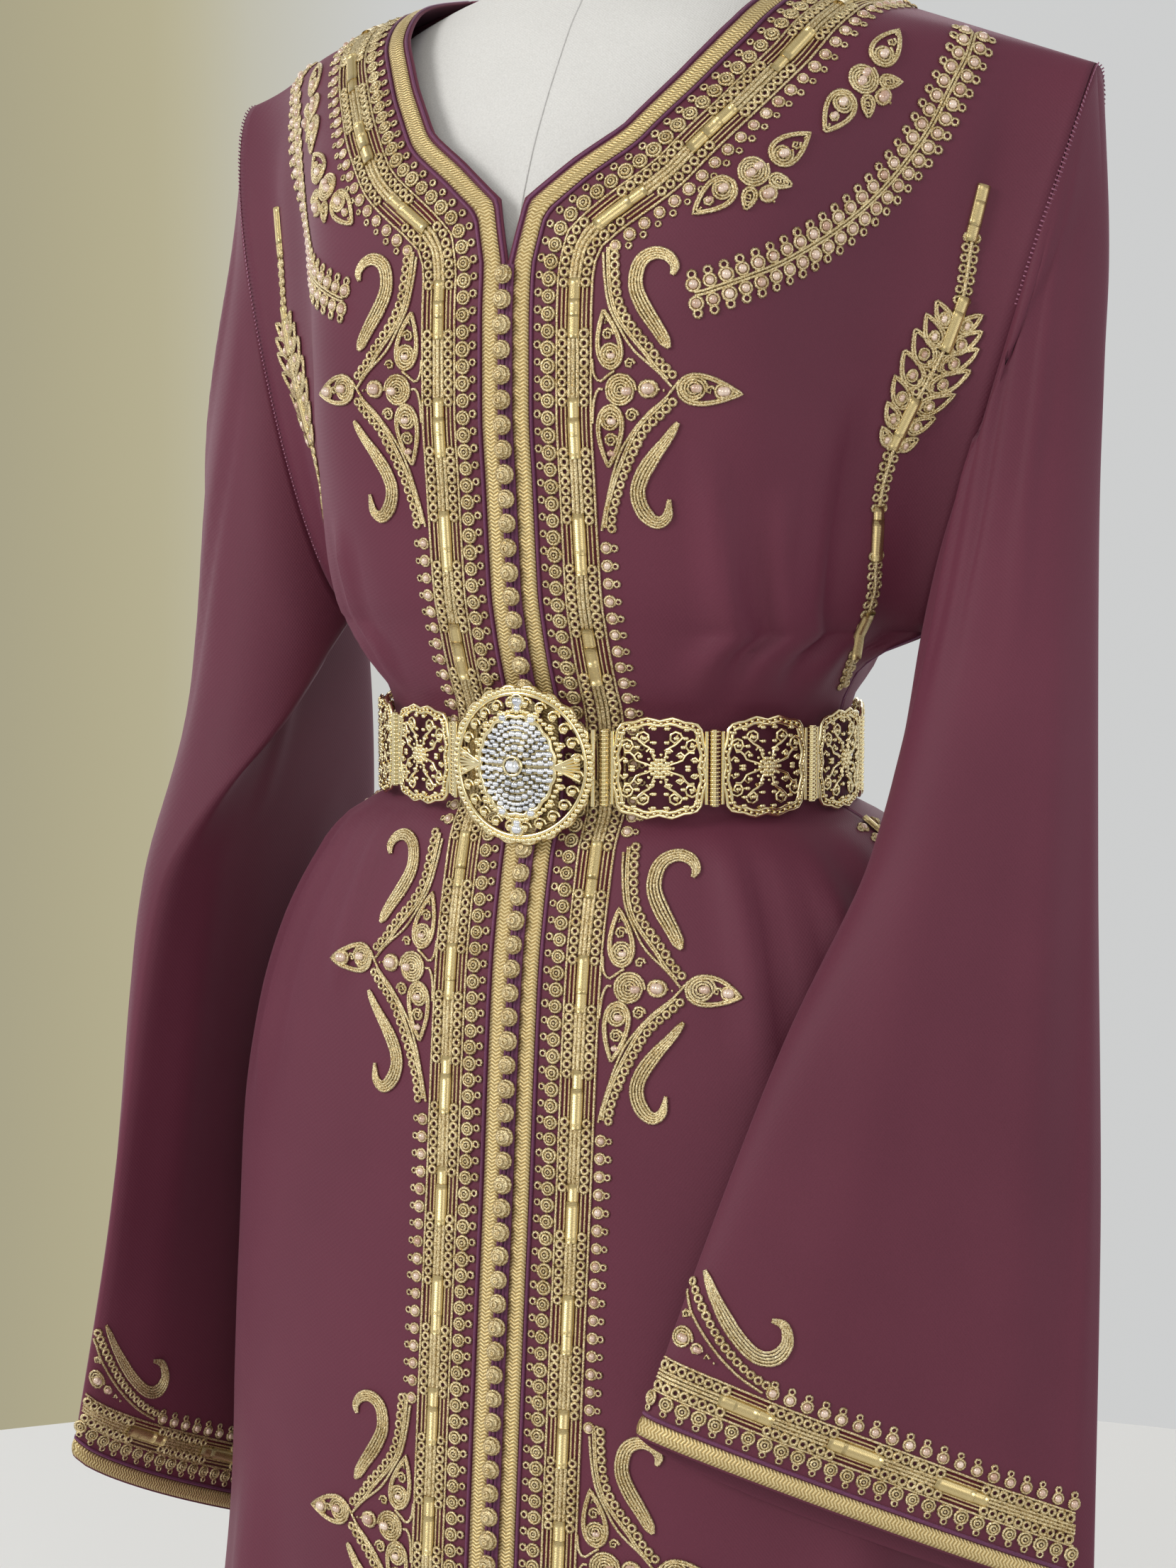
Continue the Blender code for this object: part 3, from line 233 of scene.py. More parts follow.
# face, side, place round it, spread, lowest, highest, peak, how far out
folds = [
    (-1, 1, 0.47, 0.05, 1.068, 1.25, 1.095, 0.005), (-1, 1, 0.66, 0.055, 1.068, 1.22, 1.1, 0.0055),
    (-1, 1, 0.83, 0.045, 1.068, 1.19, 1.095, 0.0045), (-1, -1, 0.62, 0.05, 1.068, 1.2, 1.095, 0.0045),
    (-1, -1, 0.8, 0.05, 1.068, 1.23, 1.1, 0.0055), (-1, -1, 0.55, 0.05, 0.8, 1.012, 0.985, 0.0045),
    (-1, -1, 0.78, 0.055, 0.74, 1.012, 0.98, 0.006), (-1, 1, 0.6, 0.05, 0.82, 1.012, 0.985, 0.004),
    (-1, 1, 0.84, 0.055, 0.76, 1.012, 0.98, 0.0055), (1, 1, 0.16, 0.06, 1.068, 1.23, 1.1, 0.005),
    (1, 1, 0.46, 0.055, 1.068, 1.26, 1.1, 0.0055), (1, 1, 0.76, 0.055, 1.068, 1.2, 1.095, 0.005),
    (1, -1, 0.3, 0.06, 1.068, 1.24, 1.1, 0.0055), (1, -1, 0.62, 0.055, 1.068, 1.21, 1.095, 0.005),
    (1, 1, 0.24, 0.06, 0.62, 1.012, 0.975, 0.0065), (1, 1, 0.58, 0.055, 0.7, 1.012, 0.98, 0.0055),
    (1, -1, 0.12, 0.06, 0.64, 1.012, 0.975, 0.006), (1, -1, 0.46, 0.06, 0.6, 1.012, 0.975, 0.007),
    (1, -1, 0.8, 0.055, 0.72, 1.012, 0.98, 0.0055), (-1, 1, 0.42, 0.08, -1.0, 0.56, 0.03, 0.011),
    (-1, 1, 0.78, 0.09, -1.0, 0.66, 0.03, 0.014), (-1, -1, 0.36, 0.07, -1.0, 0.5, 0.03, 0.009),
    (-1, -1, 0.7, 0.09, -1.0, 0.68, 0.03, 0.015), (1, 1, 0.2, 0.085, -1.0, 0.7, 0.03, 0.016),
    (1, 1, 0.55, 0.08, -1.0, 0.58, 0.03, 0.013), (1, 1, 0.86, 0.07, -1.0, 0.46, 0.03, 0.01),
    (1, -1, 0.3, 0.085, -1.0, 0.64, 0.03, 0.015), (1, -1, 0.66, 0.09, -1.0, 0.72, 0.03, 0.017)]
# creases: face, side, from (place, height), to (place, height), half width, how far out
pulled = {"deeper": 4.0, "wider": 1.8}  # how much more the pulled creases show than in the solids
creases = [
    (-1, 1, (0.4, 1.215), (0.52, 1.075), 0.0045, 0.0022), (-1, 1, (0.58, 1.19), (0.61, 1.072), 0.0035, 0.0018),
    (-1, 1, (0.74, 1.235), (0.72, 1.072), 0.005, -0.002), (-1, -1, (0.5, 1.165), (0.54, 1.072), 0.004, 0.0016),
    (-1, -1, (0.72, 1.26), (0.71, 1.072), 0.0055, -0.0022), (-1, -1, (0.9, 1.21), (0.86, 1.072), 0.004, 0.0018),
    (-1, 1, (0.88, 1.2), (0.8, 1.4), 0.009, 0.002), (-1, -1, (0.87, 1.18), (0.82, 1.39), 0.01, 0.0022),
    (-1, 1, (0.5, 1.008), (0.47, 0.88), 0.005, 0.002), (-1, 1, (0.69, 1.008), (0.72, 0.81), 0.0065, 0.0026),
    (-1, -1, (0.47, 1.008), (0.44, 0.9), 0.0045, 0.0018), (-1, -1, (0.67, 1.008), (0.66, 0.83), 0.006, 0.0024),
    (-1, 1, (0.58, 0.3), (0.62, 0.7), 0.014, 0.003), (-1, -1, (0.54, 0.26), (0.58, 0.66), 0.013, 0.0028),
    (1, 1, (0.3, 1.24), (0.33, 1.072), 0.005, 0.0022), (1, 1, (0.62, 1.21), (0.6, 1.072), 0.0045, 0.002),
    (1, -1, (0.14, 1.25), (0.17, 1.072), 0.005, 0.0022), (1, -1, (0.46, 1.22), (0.45, 1.072), 0.0045, 0.0018),
    (1, -1, (0.82, 1.2), (0.78, 1.072), 0.005, 0.002), (1, 1, (0.1, 1.008), (0.08, 0.76), 0.007, 0.0028),
    (1, 1, (0.42, 1.008), (0.44, 0.8), 0.006, 0.0024), (1, 1, (0.74, 1.008), (0.77, 0.78), 0.0065, 0.0026),
    (1, -1, (0.3, 1.008), (0.28, 0.77), 0.0065, 0.0026), (1, -1, (0.64, 1.008), (0.67, 0.8), 0.006, 0.0024),
    (1, 1, (0.6, 1.39), (0.3, 1.29), 0.012, 0.0022), (1, -1, (0.58, 1.385), (0.28, 1.28), 0.012, 0.002),
    (1, 1, (0.38, 0.24), (0.4, 0.68), 0.016, 0.0035), (1, -1, (0.48, 0.26), (0.46, 0.7), 0.015, 0.0034)]


def blendRows(table, place):  # reads a table between its rows, smoothly and without overshoot
    low = int(min(max(math.floor(place), 0), len(table) - 2))
    t = place - low
    step = table[low + 1] - table[low]
    before = table[low] - table[max(low - 1, 0)]
    after = table[min(low + 2, len(table) - 1)] - table[low + 1]
    start = np.where(before * step > 0, 2 * before * step / (before + step + 1e-15), 0.0) if low else step
    end = np.where(after * step > 0, 2 * after * step / (after + step + 1e-15), 0.0)
    end = step if low + 2 >= len(table) else end
    return (table[low] * (2 * t**3 - 3 * t**2 + 1) + start * (t**3 - 2 * t**2 + t)
            + table[low + 1] * (3 * t**2 - 2 * t**3) + end * (t**3 - t**2))


def armholePoint(arm, face):
    along = (1 - cos(pi * arm)) / 2
    swell = sin(pi * arm)
    base = np.array(body["underarm"]) * (1 - along) + np.array(body["shoulderTip"]) * along
    return base + np.array([body["armholeBow"] * swell, face * body["armholeDepth"] * swell, 0.0])


def lengthsOf(curve):
    return np.concatenate([[0], np.cumsum(norm(np.diff(curve, axis=0), axis=1))])


def readCurve(curve, marks, stops):  # the curve's points at some stops among its marks
    return np.column_stack([np.interp(stops, marks, curve[:, axis]) for axis in range(curve.shape[1])])


def pointsAt(curve, targets):
    return readCurve(curve, lengthsOf(curve), targets)


def section(place, face, side):  # one level's curve, from the centre to the side
    z, half, front, back, shift, full, reach, drop, arm = blendRows(levels, place)
    depth = (front - shift) if face < 0 else (back + shift)
    power = 2.0 / full
    if place > underarmLevel:
        end = armholePoint(arm, face)
    else:
        web = reach / levels[underarmLevel][6]
        end = np.array([half + reach, -shift * (1 - web) + body["underarm"][1] * web, z - drop])
    angles = np.linspace(1e-4, radians(60), 48)
    curve = np.column_stack([half * np.sin(angles) ** power, -shift + face * depth * np.cos(angles) ** power])
    joint, tangent = curve[-1], unit(curve[-1] - curve[-2])
    far = norm(end[:2] - joint)
    web = min(max((end[0] - half) / 0.03, 0.0), 1.0) if place > beltLevel else 0.0
    close = unit(np.array([0.0, -face]) * (1 - web) + np.array([1.0, 0.0]) * web)
    t = np.linspace(0, 1, 24)[1:, None]
    turn = (joint * (2 * t**3 - 3 * t**2 + 1) + tangent * far * (t**3 - 2 * t**2 + t)
            + end[:2] * (3 * t**2 - 2 * t**3) + close * far * (t**3 - t**2))
    curve = np.vstack([curve, turn])
    curve[0, 0] = 0.0
    above = min(max((place - cornerLevel) / (len(levels) - 1 - cornerLevel), 0.0), 1.0)
    heights = z + (end[2] - z) * np.clip(curve[:, 0] / end[0], 0, 1) ** (2 - above)
    arcs = lengthsOf(curve)
    total = arcs[-1]
    arcs = arcs / total
    out = np.zeros(len(curve))
    for foldFace, foldSide, arc, spread, low, high, peak, rise in folds:
        if foldFace == face and foldSide == side:
            span = np.where(heights > peak, high - peak, peak - low)
            fade = 0.5 + 0.5 * np.cos(np.pi * np.minimum(np.abs(heights - peak) / span, 1.0))
            inside = (heights > low) & (heights < high)
            out += np.where(inside, rise * fade * np.exp(-((arcs - arc) / spread) ** 2), 0.0)
    edge = np.clip((1 - arcs) / 0.06, 0, 1)
    for creaseFace, creaseSide, start, finish, wide, rise in creases:
        if creaseFace == face and creaseSide == side:
            t = np.clip((heights - start[1]) / (finish[1] - start[1]), 0, 1)
            off = np.abs(arcs - (start[0] + (finish[0] - start[0]) * t)) * total
            inside = (heights > min(start[1], finish[1])) & (heights < max(start[1], finish[1]))
            fade = np.minimum(np.sin(np.pi * np.clip(t, 0, 1)) * 1.6, 1.0)
            off = off / pulled["wider"]
            ridge = np.exp(-(off / wide) ** 2) - 0.4 * np.exp(-(off / (2.4 * wide)) ** 2)
            out += np.where(inside, pulled["deeper"] * rise * fade * ridge, 0.0) * edge
    ways = np.column_stack([curve[:, 0] / half**2, (curve[:, 1] + shift) / max(depth, 0.001) ** 2])
    ways /= np.maximum(norm(ways, axis=1, keepdims=True), 1e-9)
    return np.column_stack([curve + ways * out[:, None], heights])


def neckStart(curve, neck):
    widths, heights = zip(*neck)
    lengths = lengthsOf(curve)
    short = np.interp(curve[:, 2], heights, widths) - curve[:, 0]
    past = np.nonzero(short <= 0)[0]
    if not len(past) or past[0] == 0:
        return 0.0
    i = past[0]
    return lengths[i - 1] + (lengths[i] - lengths[i - 1]) * short[i - 1] / (short[i - 1] - short[i] + 1e-12)


def rowPlaces():  # rows evenly spaced up the front, closer together round the neckline
    places = np.linspace(0, 30, 1201)
    zs = np.array([blendRows(levels, p)[0] for p in places])
    heights = np.concatenate([np.arange(0.03, 1.325, body["rowStep"]), np.arange(1.325, 1.4846, 0.0035)])
    rows = set(np.interp(heights, zs, places).round(4)) | {float(underarmLevel), float(cornerLevel), 28.0, 30.0}
    return sorted(rows)


places = rowPlaces()
bandColumns = [0.0, 0.002, 0.0045, 0.007, 0.0095, 0.012, 0.0137, 0.016, 0.0185, 0.022, 0.0257, 0.03, 0.0345,
        0.039, 0.044, 0.049, 0.054, 0.06]


def frontGrid(side):
    curves = [section(place, -1, side) for place in places]
    starts = []
    for place, curve in zip(places, curves):
        height = curve[0, 2]
        if place >= cornerLevel:
            starts.append(neckStart(curve, frontNeck))
        else:
            rise = (height - body["topButton"]) / (body["corner"] - body["topButton"])
            starts.append(body["slitHalf"] * max(rise, 0.0))
    edge = np.array([pointsAt(curve, [start])[0] for curve, start in zip(curves, starts)])
    runs = np.diff(edge, axis=0)
    runSquares = np.maximum((runs**2).sum(axis=1), 1e-12)

    def away(spots):  # distance of each spot from the edge
        gaps = spots[:, None, :] - edge[None, :-1, :]
        t = np.clip((gaps * runs[None]).sum(axis=2) / runSquares[None], 0, 1)
        return norm(gaps - runs[None] * t[..., None], axis=2).min(axis=1)

    grid = []
    for curve, start in zip(curves, starts):
        total = lengthsOf(curve)[-1]
        steps = np.linspace(start, min(start + 0.105, start + (total - start) * 0.9), 90)
        far = np.maximum.accumulate(away(pointsAt(curve, steps)))
        stops = np.interp(bandColumns, far, steps)
        stops[0] = start
        rest = stops[-1] + (total - stops[-1]) * np.linspace(0, 1, body["sideColumns"] + 1)[1:]
        grid.append(pointsAt(curve, np.concatenate([stops, rest])))
    grid = np.array(grid)
    grid[:, :, 0] *= side
    return grid


def backGrid(side, shoulder):
    columns = len(shoulder)
    topShares = lengthsOf(shoulder)
    topShares /= topShares[-1]
    even = np.linspace(0, 1, columns)
    grid = []
    for place in places:
        curve = section(place, 1, side)
        start = neckStart(curve, backNeck) if place > backNeckLevel else 0.0
        total = lengthsOf(curve)[-1]
        nearTop = min(max((place - 22) / 6, 0.0), 1.0)
        shares = even * (1 - nearTop) + topShares * nearTop
        grid.append(pointsAt(curve, start + (total - start) * shares))
    grid = np.array(grid)
    grid[:, :, 0] *= side
    grid[-1] = shoulder
    return grid

# sleeves: along, over x y z, under x y z, front depth, back depth

sleeveLeft = np.array([
    (0.0, 0.2545, 0.015, 1.4, 0.177, -0.008, 1.108, 0.032, 0.032),
    (0.1, 0.262, 0.008, 1.325, 0.188, -0.025, 1.08, 0.034, 0.028),
    (0.2, 0.266, -0.001, 1.25, 0.187, -0.052, 1.04, 0.034, 0.022),
    (0.31, 0.271, -0.015, 1.168, 0.1785, -0.082, 0.995, 0.032, 0.016),
    (0.53, 0.2825, -0.04, 0.99, 0.15, -0.128, 0.905, 0.028, 0.012),
    (0.77, 0.294, -0.058, 0.8, 0.1207, -0.155, 0.8063, 0.022, 0.012),
    (1.0, 0.2985, -0.07, 0.62, 0.094, -0.18, 0.7073, 0.014, 0.01)])
sleeveRight = np.array([
    (0.0, 0.2545, 0.015, 1.4, 0.177, -0.008, 1.108, 0.032, 0.032),
    (0.15, 0.272, 0.042, 1.28, 0.202, -0.045, 1.05, 0.038, 0.026),
    (0.35, 0.232, 0.095, 1.07, 0.2544, -0.095, 0.953, 0.04, 0.018),
    (0.6, 0.242, 0.115, 0.87, 0.2745, -0.105, 0.816, 0.024, 0.012),
    (0.8, 0.246, 0.122, 0.69, 0.289, -0.105, 0.731, 0.016, 0.01),
    (1.0, 0.242, 0.118, 0.512, 0.3188, -0.1, 0.605, 0.013, 0.01)])
sleeve = {"rings": 84, "lap": 0.014, "cuffSteps": [0.052, 0.047, 0.043, 0.038, 0.033, 0.028, 0.023, 0.018, 0.014,
        0.011, 0.0085, 0.006, 0.0035, 0.0015, 0.0]}
# creases on the sleeves: face, from (along, round), to (along, round), half width round, how far out
sleeveCreases = {
    1: [(-1, (0.02, 0.86), (0.34, 0.6), 0.035, 0.0032), (-1, (0.03, 0.7), (0.3, 0.42), 0.03, -0.003),
        (-1, (0.05, 0.55), (0.26, 0.28), 0.028, 0.003), (-1, (0.34, 0.74), (0.98, 0.66), 0.07, 0.004),
        (-1, (0.4, 0.4), (0.98, 0.36), 0.08, 0.0036), (-1, (0.46, 0.9), (0.96, 0.86), 0.045, 0.003),
        (1, (0.03, 0.72), (0.36, 0.44), 0.034, 0.003), (1, (0.4, 0.58), (0.98, 0.5), 0.08, 0.004),
        (1, (0.3, 0.24), (0.9, 0.22), 0.06, 0.003)],
    -1: [(-1, (0.02, 0.8), (0.3, 0.5), 0.034, 0.0034), (-1, (0.04, 0.58), (0.28, 0.26), 0.03, -0.003),
        (-1, (0.22, 0.44), (0.62, 0.3), 0.04, 0.0036), (-1, (0.34, 0.66), (0.97, 0.6), 0.07, 0.004),
        (-1, (0.5, 0.22), (0.96, 0.24), 0.05, 0.003), (1, (0.03, 0.7), (0.36, 0.4), 0.034, 0.003),
        (1, (0.4, 0.6), (0.98, 0.54), 0.08, 0.0044), (1, (0.34, 0.28), (0.92, 0.26), 0.06, 0.0032)]}


def ringAt(table, s):
    return blendRows(table, float(np.interp(s, table[:, 0], np.arange(len(table)))))


def sleeveMiddle(ring):
    return (ring[1:4] + ring[4:7]) / 2, (ring[1:4] - ring[4:7]) / 2


def sleeveRow(table, s, columns, side):  # one ring of a sleeve
    ring = ringAt(table, s)
    centre, half = sleeveMiddle(ring)
    ahead, _ = sleeveMiddle(ringAt(table, min(s + 0.04, 1.0)))
    behind, _ = sleeveMiddle(ringAt(table, max(s - 0.04, 0.0)))
    settle = min(s / 0.1, 1.0)
    out = unit(np.array([0.0, -1.0, 0.0]) * (1 - settle) + unit(np.cross(unit(ahead - behind), half)) * settle)
    row = []
    for arm, face in columns:
        swell = sin(pi * arm)
        depth = ring[7] if face < 0 else -ring[8]
        fold = 0.0
        for foldFace, start, finish, wide, rise in sleeveCreases[side]:
            if foldFace == face and start[0] < s < finish[0]:
                t = (s - start[0]) / (finish[0] - start[0])
                off = abs(arm - (start[1] + (finish[1] - start[1]) * t)) / wide
                ridge = math.exp(-off * off) - 0.4 * math.exp(-(off / 2.2) ** 2)
                fold += rise * sin(pi * t) ** 0.6 * ridge
        fold *= min(swell * 2.0, 1.0) * min(s / 0.03, 1.0)
        spot = centre - half * cos(pi * arm) + out * (depth * swell + (fold if face < 0 else -fold))
        spot[0] += body["armholeBow"] * swell * (1 - settle)
        if face > 0:
            spot[2] -= sleeve["lap"] * swell * s**6
        row.append(spot)
    return np.array(row)


def sleeveGrid(table, side, frontEdge, backEdge, arms):
    columns = [(arm, -1) for arm in arms] + [(arm, 1) for arm in arms[-2:0:-1]]
    ends, near = (sleeveRow(table, s, columns, side) for s in (1.0, 0.94))
    cuffStarts = 1.0 - 0.06 * 0.057 / norm(ends - near, axis=1)
    rows = []
    for t in np.linspace(0, 1, sleeve["rings"]):
        if t < 0.8:
            rows.append(sleeveRow(table, t, columns, side))
        else:
            stops = 0.8 + (t - 0.8) / 0.2 * (cuffStarts - 0.8)
            rows.append(np.array([sleeveRow(table, s, [column], side)[0] for s, column in zip(stops, columns)]))
    for distance in sleeve["cuffSteps"]:
        row = []
        for index, column in enumerate(columns):
            s = 1.0 - 0.06 * distance / norm(ends[index] - near[index])
            row.append(sleeveRow(table, s, [column], side)[0])
        rows.append(np.array(row))
    grid = np.array(rows)
    grid[:, :, 0] *= side
    grid[0] = np.concatenate([frontEdge, backEdge[-2:0:-1]])
    return grid


def gridFaces(rows, columns, flip, closed):
    faces = []
    for row in range(rows - 1):
        for column in range(columns if closed else columns - 1):
            after = (column + 1) % columns
            quad = (row * columns + column, row * columns + after, (row + 1) * columns + after,
                    (row + 1) * columns + column)
            faces.append(quad[::-1] if flip else quad)
    return faces


def vertexNormals(points, faces):
    normals = np.zeros_like(points)
    quads = np.array(faces)
    cross = np.cross(points[quads[:, 2]] - points[quads[:, 0]], points[quads[:, 3]] - points[quads[:, 1]])
    for corner in range(4):
        np.add.at(normals, quads[:, corner], cross)
    return normals / np.maximum(norm(normals, axis=1, keepdims=True), 1e-15)


def clothShell(name, grid, flip, material, closed=False):  # a thin closed wall, its outside kept in outerSkins
    rows, columns = grid.shape[:2]
    points = grid.reshape(-1, 3)
    faces = gridFaces(rows, columns, flip, closed)
    normals = vertexNormals(points, faces)
    count = len(points)
    outer = points + normals * body["wall"]
    wall = faces + [tuple(i + count for i in reversed(f)) for f in faces]
    edges = {}
    for face in faces:
        for i in range(4):
            edges[(face[i], face[(i + 1) % 4])] = True
    for a, b in edges:
        if (b, a) not in edges:
            wall.append((b, a, a + count, b + count))
    thing = makeObject(name, np.vstack([outer, points]), wall, material)
    outerSkins[name] = (outer, faces, normals)
    return thing


outerSkins = {}
# shader groups: they give only colours, masks, values and normals


def newGroup(name, inputs, outputs):
    group = bpy.data.node_groups.new(name, "ShaderNodeTree")
    for label, kind, value in inputs:
        socket = group.interface.new_socket(name=label, in_out="INPUT", socket_type="NodeSocket" + kind)
        if value is not None:
            socket.default_value = value
    for label, kind in outputs:
        group.interface.new_socket(name=label, in_out="OUTPUT", socket_type="NodeSocket" + kind)
    return group, group.nodes.new("NodeGroupInput"), group.nodes.new("NodeGroupOutput")


def addNode(tree, kind, place=(0, 0), **values):
    node = tree.nodes.new(kind)
    node.location = place
    for key, value in values.items():
        if hasattr(node, key):
            setattr(node, key, value)
        else:
            node.inputs[key].default_value = value
    return node


def mathNode(tree, operation, first, second=None, place=(0, 0)):
    node = addNode(tree, "ShaderNodeMath", place, operation=operation)
    for index, value in enumerate((first, second)):
        if value is None:
            continue
        if isinstance(value, (int, float)):
            node.inputs[index].default_value = value
        else:
            tree.links.new(value, node.inputs[index])
    return node.outputs[0]


def times(tree, first, second):
    return mathNode(tree, "MULTIPLY", first, second)


def scaled(tree, value, by, plus):  # the value times one number, plus another number or value
    return mathNode(tree, "ADD", times(tree, value, by), plus)


def mixColour(tree, factor, first, second, place=(0, 0)):
    node = addNode(tree, "ShaderNodeMix", place, data_type="RGBA")
    for socket, value in ((node.inputs["Factor"], factor), (node.inputs["A"], first), (node.inputs["B"], second)):
        if isinstance(value, (int, float)):
            socket.default_value = value
        elif isinstance(value, tuple):
            socket.default_value = (*value, 1.0) if len(value) == 3 else value
        else:
            tree.links.new(value, socket)
    return node.outputs["Result"]


def grainGroup():  # fine uneven grain of threads, and a slow change of shade
    group, start, end = newGroup("threadGrain", [("Vector", "Vector", None),
            ("Fine", "Float", 2200.0),
            ("Slow", "Float", 6.0)],
            [("Grain", "Float"), ("Shade", "Float")])
    fine = addNode(group, "ShaderNodeTexNoise", (0, 100), Detail=2.0, Roughness=0.6)
    slow = addNode(group, "ShaderNodeTexNoise", (0, -100), Detail=3.0, Roughness=0.55)
    for node, label in ((fine, "Fine"), (slow, "Slow")):
        group.links.new(start.outputs["Vector"], node.inputs["Vector"])
        group.links.new(start.outputs[label], node.inputs["Scale"])
    group.links.new(fine.outputs["Fac"], end.inputs["Grain"])
    group.links.new(slow.outputs["Fac"], end.inputs["Shade"])
    return group


def weaveGroup():  # over and under threads from two crossed bands, in metres per thread
    group, start, end = newGroup("threadWeave", [("Vector", "Vector", None),
            ("Threads", "Float", 2600.0)],
            [("Height", "Float")])
    parts = addNode(group, "ShaderNodeSeparateXYZ")
    group.links.new(start.outputs["Vector"], parts.inputs[0])
    across = mathNode(group, "ADD", parts.outputs["X"], parts.outputs["Y"])
    waves = [mathNode(group, "SINE", mathNode(group, "MULTIPLY", axis, start.outputs["Threads"]))
            for axis in (across, parts.outputs["Z"])]
    crossed = mathNode(group, "MULTIPLY", waves[0], waves[1])
    group.links.new(mathNode(group, "MULTIPLY_ADD", crossed, 0.5), end.inputs["Height"])
    return group


def edgeHighlightHollowShadeGroup():  # painted highlight on raised edges and painted shade in hollows of the metal, from how sharply the surface turns
    group, start, end = newGroup("edgeWear", [("Amount", "Float", 6.0)], [("Edge", "Float")])
    form = addNode(group, "ShaderNodeNewGeometry")
    away = mathNode(group, "SUBTRACT", form.outputs["Pointiness"], 0.5)
    strong = mathNode(group, "MULTIPLY", away, start.outputs["Amount"])
    shifted = mathNode(group, "ADD", strong, 0.5)
    clamp = addNode(group, "ShaderNodeClamp")
    group.links.new(shifted, clamp.inputs["Value"])
    group.links.new(clamp.outputs[0], end.inputs["Edge"])
    return group


grain, weave, paintedEdgeLight = grainGroup(), weaveGroup(), edgeHighlightHollowShadeGroup()


def newMaterial(name, **fixed):  # constants stand on the shader's own sockets
    material = bpy.data.materials.new(name)
    material.use_nodes = True
    tree = material.node_tree
    shader = tree.nodes["Principled BSDF"]
    for key, value in fixed.items():
        label = {"rough": "Roughness", "metal": "Metallic", "sheen": "Sheen Weight", "sheenRough": "Sheen Roughness",
                "sheenTint": "Sheen Tint", "coat": "Coat Weight", "coatRough": "Coat Roughness", "ior": "IOR",
                "specular": "Specular IOR Level"}[key]
        shader.inputs[label].default_value = value
    coords = addNode(tree, "ShaderNodeTexCoord", (-900, 0))
    return material, tree, shader, coords.outputs


def addGroup(tree, group, vector=None, **values):
    node = addNode(tree, "ShaderNodeGroup")
    node.node_tree = group
    if vector is not None:
        tree.links.new(vector, node.inputs["Vector"])
    for key, value in values.items():
        node.inputs[key].default_value = value
    return node


def addBump(tree, shader, height, strength, distance):
    bump = addNode(tree, "ShaderNodeBump", (-200, -300), Strength=strength, Distance=distance)
    tree.links.new(height, bump.inputs["Height"])
    tree.links.new(bump.outputs["Normal"], shader.inputs["Normal"])


def ramp(tree, value, low, high):  # a value stretched from low..high to 0..1
    node = addNode(tree, "ShaderNodeMapRange", **{"From Min": low, "From Max": high})
    tree.links.new(value, node.inputs["Value"])
    return node.outputs["Result"]


def setLook(made, tone, colours, rough, metal=None, bump=None):  # rough and metal: a value, times this, plus that
    material, tree, shader, _ = made
    tree.links.new(mixColour(tree, tone, *colours), shader.inputs["Base Color"])
    tree.links.new(scaled(tree, *rough), shader.inputs["Roughness"])
    if metal:
        tree.links.new(scaled(tree, *metal), shader.inputs["Metallic"])
    if bump:
        addBump(tree, shader, *bump)
    return material


def clothMaterial(name, deep, lit, rough, sheenTint, fine=2400.0, threads=2600.0, sheen=0.35):
    made = newMaterial(name, sheen=sheen, sheenRough=0.45, sheenTint=sheenTint, specular=0.28)
    _, tree, _, spots = made
    threadGrain = addGroup(tree, grain, spots["Object"], Fine=fine, Slow=5.0)
    threadWeave = addGroup(tree, weave, spots["Object"], Threads=threads)
    shade = ramp(tree, threadGrain.outputs["Shade"], 0.3, 0.7)
    speck = ramp(tree, threadGrain.outputs["Grain"], 0.25, 0.75)
    height = mathNode(tree, "ADD", threadWeave.outputs["Height"], times(tree, speck, 0.8))
    return setLook(made, scaled(tree, shade, 0.45, times(tree, speck, 0.55)), (deep, lit),
            (speck, 0.14, rough - 0.07), bump=(height, 0.35, 0.0002))


def goldThread(name, dark, pale, rough=0.36, metal=0.78, fine=1500.0):
    made = newMaterial(name, specular=0.5)
    _, tree, _, spots = made
    threadGrain = addGroup(tree, grain, spots["Object"], Fine=fine, Slow=60.0)
    cells = addNode(tree, "ShaderNodeTexVoronoi", (-600, -200), Scale=1300.0)
    tree.links.new(spots["Object"], cells.inputs["Vector"])
    glint = ramp(tree, threadGrain.outputs["Grain"], 0.38, 0.62)
    shade = ramp(tree, threadGrain.outputs["Shade"], 0.3, 0.7)
    height = mathNode(tree, "ADD", glint, times(tree, cells.outputs["Distance"], 0.8))
    return setLook(made, scaled(tree, glint, 0.7, times(tree, shade, 0.3)), (dark, pale), (glint, 0.2, rough - 0.08),
            (shade, 0.12, metal - 0.06), (height, 0.55, 0.0004))


def braidMaterial(name):  # flat braid: chevrons of gold thread along its UV, in metres along and across
    made = newMaterial(name, specular=0.5)
    _, tree, _, spots = made
    axes = addNode(tree, "ShaderNodeSeparateXYZ", (-700, 0))
    tree.links.new(spots["UV"], axes.inputs[0])
    repeat = mathNode(tree, "FRACT", times(tree, axes.outputs["Y"], 2.0))
    across = mathNode(tree, "ABSOLUTE", mathNode(tree, "SUBTRACT", repeat, 0.5))
    threads = mathNode(tree, "SINE", scaled(tree, axes.outputs["X"], 3200.0, times(tree, across, 9.0)))
    threadGrain = addGroup(tree, grain, spots["Object"], Fine=1700.0, Slow=45.0)
    glint = ramp(tree, threadGrain.outputs["Grain"], 0.3, 0.7)
    tone = mathNode(tree, "ADD", scaled(tree, threads, 0.42, times(tree, glint, 0.55)), 0.15)
    return setLook(made, tone, ((0.38, 0.255, 0.085), (0.9, 0.74, 0.4)), (glint, 0.2, 0.3),
            (threadGrain.outputs["Shade"], 0.2, 0.62), (mathNode(tree, "ADD", threads, glint), 0.5, 0.0004))


